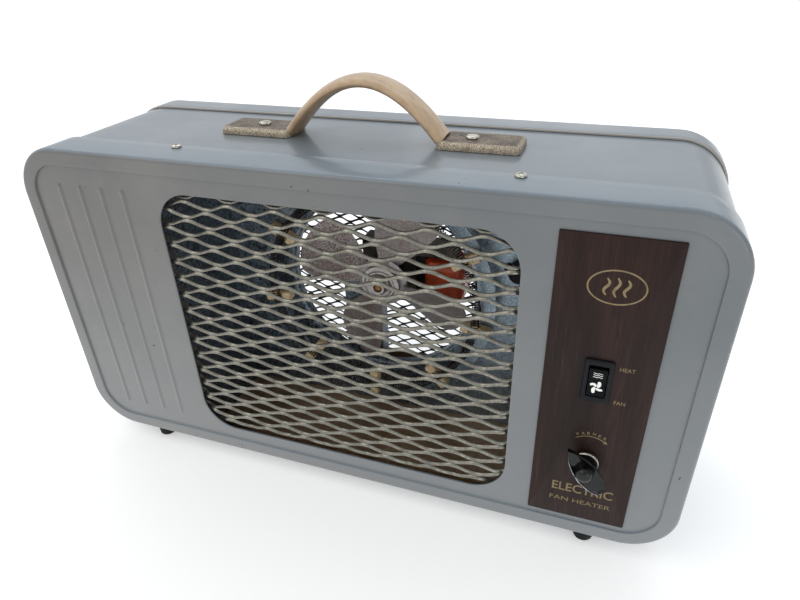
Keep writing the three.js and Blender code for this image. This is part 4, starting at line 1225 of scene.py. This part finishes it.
# the emblem is an ellipse round three waves that taper to both ends
def printPieces(face):
    m = marks
    x, z = m["emblem"]
    wide, tall = m["emblemSize"]
    angle = np.linspace(0, 2 * math.pi, 72, endpoint=False)
    oval = np.stack([x + wide * np.cos(angle), z + tall * np.sin(angle)], -1)
    lines = [stroke(oval, 0.9, face, closed=True)]
    rise = np.linspace(-1, 1, 30)
    for k in (-1, 0, 1):
        wave = np.stack([x + 5.4 * k + 1.3 * np.sin(rise * 3.3), z + 6.0 * rise * (1 - 0.12 * abs(k))], -1)
        lines.append(stroke(wave, 1.7 - 0.9 * np.abs(rise) ** 2, face))
    x, z = m["arrow"]
    lines.append(stroke(arcLine(x, z, m["arrowRadius"], 128, 54), np.linspace(0.35, 0.7, 28), face))
    head = arcLine(x, z, m["arrowRadius"], 56, 46, 6)
    lines.append(stroke(head, np.linspace(2.6, 0.2, 6), face))
    addPiece("goldMarks", lines, goldPrint, sharp=30)
    labelX, upper, lower = m["label"]
    words = [lettering("ELECTRIC", *m["word"], face, bold=0.012), lettering("FAN HEATER", *m["small"], face),
             lettering("HEAT", labelX, upper, *m["labelSize"], face),
             lettering("FAN", labelX - 1, lower, m["labelSize"][0] * 0.76, m["labelSize"][1], face)]
    reach = m["arrowRadius"] + 2.4
    for letter, angle in zip("WARMER", np.linspace(119, 61, 6)):
        words.append(lettering(letter, x + reach * math.cos(math.radians(angle)),
                               z + reach * math.sin(math.radians(angle)), *m["letterSize"], face, angle - 90))
    addLettering("goldLettering", words, goldPrint)


# white signs on the rocker, measured from its pivot: three waves for heat above, a fan below
signs = {"wavesUp": 5.4, "waveGap": 1.45, "waveRise": 0.22, "waveReach": 2.7, "waveWidth": 0.34,
         "fanUp": -3.5, "fanStretch": 1.15, "bladeFrom": 0.5, "bladeLength": 3.2, "bladeCurl": 0.85}


# the signs lie on the V of the rocker's face; a fan blade is a stroke that curls as it goes out and swells
# by half an ellipse
def rockerSigns():
    x, y, z = pivot("rocker_tilt")

    def onFace(line, width):
        return stroke(line, width, y - rockerFace(line[:, 1] - z), 0.05)

    lines = []
    across = np.linspace(-1, 1, 18)
    for k in (-1, 0, 1):
        rise = signs["wavesUp"] + signs["waveGap"] * k + signs["waveRise"] * np.sin(across * 6)
        lines.append(onFace(np.stack([x + signs["waveReach"] * across, z + rise], -1), signs["waveWidth"]))
    t = np.linspace(0, 1, 16)
    reach = signs["bladeFrom"] + signs["bladeLength"] * t
    width = 0.9 + 1.2 * np.sqrt(np.clip(1 - ((t - 0.55) / 0.47) ** 2, 0, 1))
    for k in range(4):
        turn = math.radians(25 + 90 * k) + signs["bladeCurl"] * t ** 1.3
        rise = signs["fanUp"] + signs["fanStretch"] * reach * np.sin(turn)
        lines.append(onFace(np.stack([x + reach * np.cos(turn), z + rise], -1), width))
    addPiece("rockerSigns", lines, whitePrint, "rocker", sharp=30)


# Knob: its turn in degrees, the wing's outline as a leaf of quadratic curves, slope how far its face falls
# back from the lower edge to the upper one, and ring the collar's radius. Each level of the wing is its
# size, how far it is behind the boss's nose and its share of the slope. boss is radius and distance behind.
knob = {"turn": -49.5, "slope": 5.2, "ring": 8.2,
        "wing": ((-19, 0.6), ((-9, -6.8), (4, -7)), ((15, -6.2), (19, -3)), ((20.3, 0), (19, 3)),
                 ((14, 7), (3, 7)), ((-10, 6.6), (-19, 0.6))),
        "levels": ((0.86, 9.4, 0), (0.95, 9.2, 0), (1.0, 8.9, 0.04), (1.0, 4.2, 0.93), (0.985, 3.5, 1),
                   (0.95, 3.1, 1), (0.9, 2.9, 1), (0.86, 3.2, 1), (0.7, 3.7, 1), (0.4, 3.9, 1),
                   (0.1, 4.0, 1)),
        "boss": ((0.1, 0), (1.6, 0.12), (3.0, 0.5), (4.1, 1.1), (4.9, 2.0), (5.4, 3.2), (5.8, 5), (6.2, 7),
                 (6.7, 10))}


# The wing's outline is shrunk towards its own spine, level by level, to round its edge, and its lower edge
# is marked for pale spots, partly wear and partly a painted highlight. The boss, which ends in a round nose,
# and the steel collar are turned about the spindle.
def knobPieces():
    x, _, z = pivot("thermostat_turn")
    (_, front, _), (_, back, _) = span("thermostat_knob")
    flat = curveThrough(knob["wing"][0], *knob["wing"][1:], steps=22)[:-1]
    spine = np.stack([np.clip(flat[:, 0] * 0.92, -17, 14.5), 0 * flat[:, 1]], -1)
    cosine, sine = math.cos(math.radians(knob["turn"])), math.sin(math.radians(knob["turn"]))
    rings, worn = [], []
    for size, level, share in knob["levels"]:
        p = spine + (flat - spine) * size
        # the lower edge's pale spots: partly wear, partly a painted highlight
        worn.append(ease(-p[:, 1], 0, 4) * (0.9 <= size <= 0.99))
        fall = share * knob["slope"] * (p[:, 1] + 7) / 14  # the wing reaches 7 to either side
        rings.append(np.stack([x + p[:, 0] * cosine - p[:, 1] * sine, front + level + fall,
                               z + p[:, 0] * sine + p[:, 1] * cosine], -1))
    nose = [(radius, front + depth) for radius, depth in knob["boss"]]
    foot = [(7.2, back - 2.6), (7.4, back - 1), (7.2, back), (0.1, back)]
    boss = turned(nose + foot, (x, 0, z), around=56)
    addPiece("thermostatKnob", [shell(rings), shell(boss)], blackGloss, "knob", "thermostat_knob",
             marks={"worn": np.concatenate(worn)})
    r = knob["ring"]
    collar = turned([(r - 1.2, back - 2.2), (r - 0.5, back - 2.4), (r, back - 2.0), (r + 0.1, back - 0.9),
                     (r - 0.2, back - 0.4), (r - 1.2, back - 0.3)], (x, 0, z), "y", 64)
    addPiece("knobRing", [shell(collar, loop=True)], screwSteel, "knob", sharp=50)


plate, face = fasciaPiece()
holes = holesForControls()
cutFrom(plate, holes)
cutFrom(frontPan, holes)
switchPiece()
rockerPiece()
printPieces(face)
rockerSigns()
knobPieces()
print("controls ready")

# carrying handle: how high and how sharply it arches, how softly the arch runs out, how far its level ends
# are above the band, and its two sections
handle = {"peak": 287.2, "flatness": 0.0118, "soften": 1.5, "lift": 2.4, "gripWidth": 25, "gripThick": 8.5,
          "coreWidth": 14, "coreThick": 1.6}


# the handle's middle line: a parabola, and a level run into both caps, whichever is higher, softly joined
def handleLine(x):
    level = span("casing_band")[1][2] + handle["lift"]
    arch = handle["peak"] - handle["flatness"] * x ** 2
    z = level + handle["soften"] * np.log1p(np.exp((arch - level) / handle["soften"]))
    slope = np.gradient(z, x)
    return z, slope


# sections (across Y, through the thickness) set square to a middle line with these heights and slopes
def squareTo(x, z, slope, sections, y):
    size = np.sqrt(1 + slope ** 2)
    across, through = sections[..., 0], sections[..., 1]
    return np.stack([x[:, None] - through * (slope / size)[:, None], y + across,
                     z[:, None] + through / size[:, None]], -1)


# The sleeve is an ellipse-like section, a little slimmer at the top of the arch. Its ends turn in, so the
# line is worked out on sorted points and read from there.
def handlePieces():
    low, high = span("handle_grip")
    y = (low[1] + high[1]) / 2
    reach = (high[0] - low[0]) / 2 - 0.3
    angle = np.linspace(0, 2 * math.pi, 44, endpoint=False)
    turnIn, shrink, between = np.array([2.5, 0.9, 0.2, 0]), np.array([0.72, 0.8, 0.87, 0.95]), 76
    x = np.concatenate([turnIn - reach, np.linspace(0.5 - reach, reach - 0.5, between), reach - turnIn[::-1]])
    size = np.concatenate([shrink, np.ones(between), shrink[::-1]])
    swell = 1 - 0.035 * np.cos(x / reach * 2.2) ** 2
    width = handle["gripWidth"] / 2 * np.cos(angle)
    crown = handle["gripThick"] / 2 * np.sign(np.sin(angle)) * np.abs(np.sin(angle)) ** 0.85
    sections = np.stack([(size * swell)[:, None] * width, size[:, None] * crown], -1)
    ordered = np.sort(x)
    z, slope = (np.interp(x, ordered, values) for values in handleLine(ordered))
    ring = squareTo(x, z, slope, sections, y)
    # the under side, which the vinyl paints browner as shade
    under = np.broadcast_to((np.sin(angle) < -0.2).astype(float), (len(x), len(angle)))
    addPiece("handleSleeve", [shell(ring)], tanVinyl, replaces="handle_grip", sharp=60,
             marks={"under": under.ravel()})
    reach = span("handle_core")[1][0]
    x = np.linspace(-reach, reach, 150)
    strip = outline(handle["coreWidth"], handle["coreThick"], 0.5, (3, 3, 3, 3), 4, 2)
    core = squareTo(x, *handleLine(x), np.broadcast_to(strip, (len(x),) + strip.shape), y)
    addPiece("handleCore", [shell(core)], darkSteel, replaces="handle_core")
    for side in ("left", "right"):
        low, high = span(f"handle_cap_{side}")
        long, deep, tall = high - low
        levels = [(1.2, 0), (0, 0.01), (0, tall - 2.2), (0.35, tall - 1.5), (1.7, tall - 0.3),
                  (2.3, tall - 0.05), (3.6, tall), (9, tall)]
        rings = stacked([(long - 2 * inset, deep - 2 * inset, max(4 - inset * 0.6, 0.8), low[2] + level)
                         for inset, level in levels], (low[:2] + high[:2]) / 2, "z", wide=24, tall=14)
        bevel = np.repeat([0.2, 1, 1, 1, 1, 0.5, 0.05, 0], rings[0].shape[0])
        addPiece(f"handleCap{side.title()}", [shell(rings)], capPlate, replaces=f"handle_cap_{side}",
                 marks={"bevel": bevel})


handlePieces()
print("handle ready")


# ribbed bush where the supply lead would enter the rear cover
def inletPiece():
    x, _, z = centreOf("cord_inlet")
    (_, front, _), (_, back, _) = span("cord_inlet")
    rings = [(4, front), (8.2, front), (8.6, front + 0.4), (9.2, back - 7), (7, back - 7), (7, back - 5.2),
             (9.6, back - 5.2), (10, back - 4.8), (10, back - 3.4), (9.3, back - 3), (8.9, back - 2.2),
             (9.1, back - 1.9), (8.6, back - 1.2), (8.8, back - 0.9), (8.0, back - 0.2), (7.6, back),
             (4.6, back), (4, back - 0.6)]
    addPiece("cordInlet", [shell(turned(rings, (x, 0, z), "y", 48), loop=True)], rubberBlack,
             replaces="cord_inlet")


inletPiece()

# CAD nodes whose plain shape is right keep it and take a finish
finishes = {"left_baffle": zincSheet, "right_baffle": zincSheet, "element_ring": zincSheet,
            "motor_rotor": coreSteel, "motor_stator": coreSteel, "motor_bracket_front": hubMetal,
            "motor_bracket_rear": hubMetal, "motor_mount": zincSheet, "terminal_block": clay,
            "thermostat_body": clay, "thermostat_spindle": screwSteel}
for name, finish in finishes.items():
    node = frame["nodes"][name]
    node.data.materials.clear()
    node.data.materials.append(finish)
print("finishes assigned")
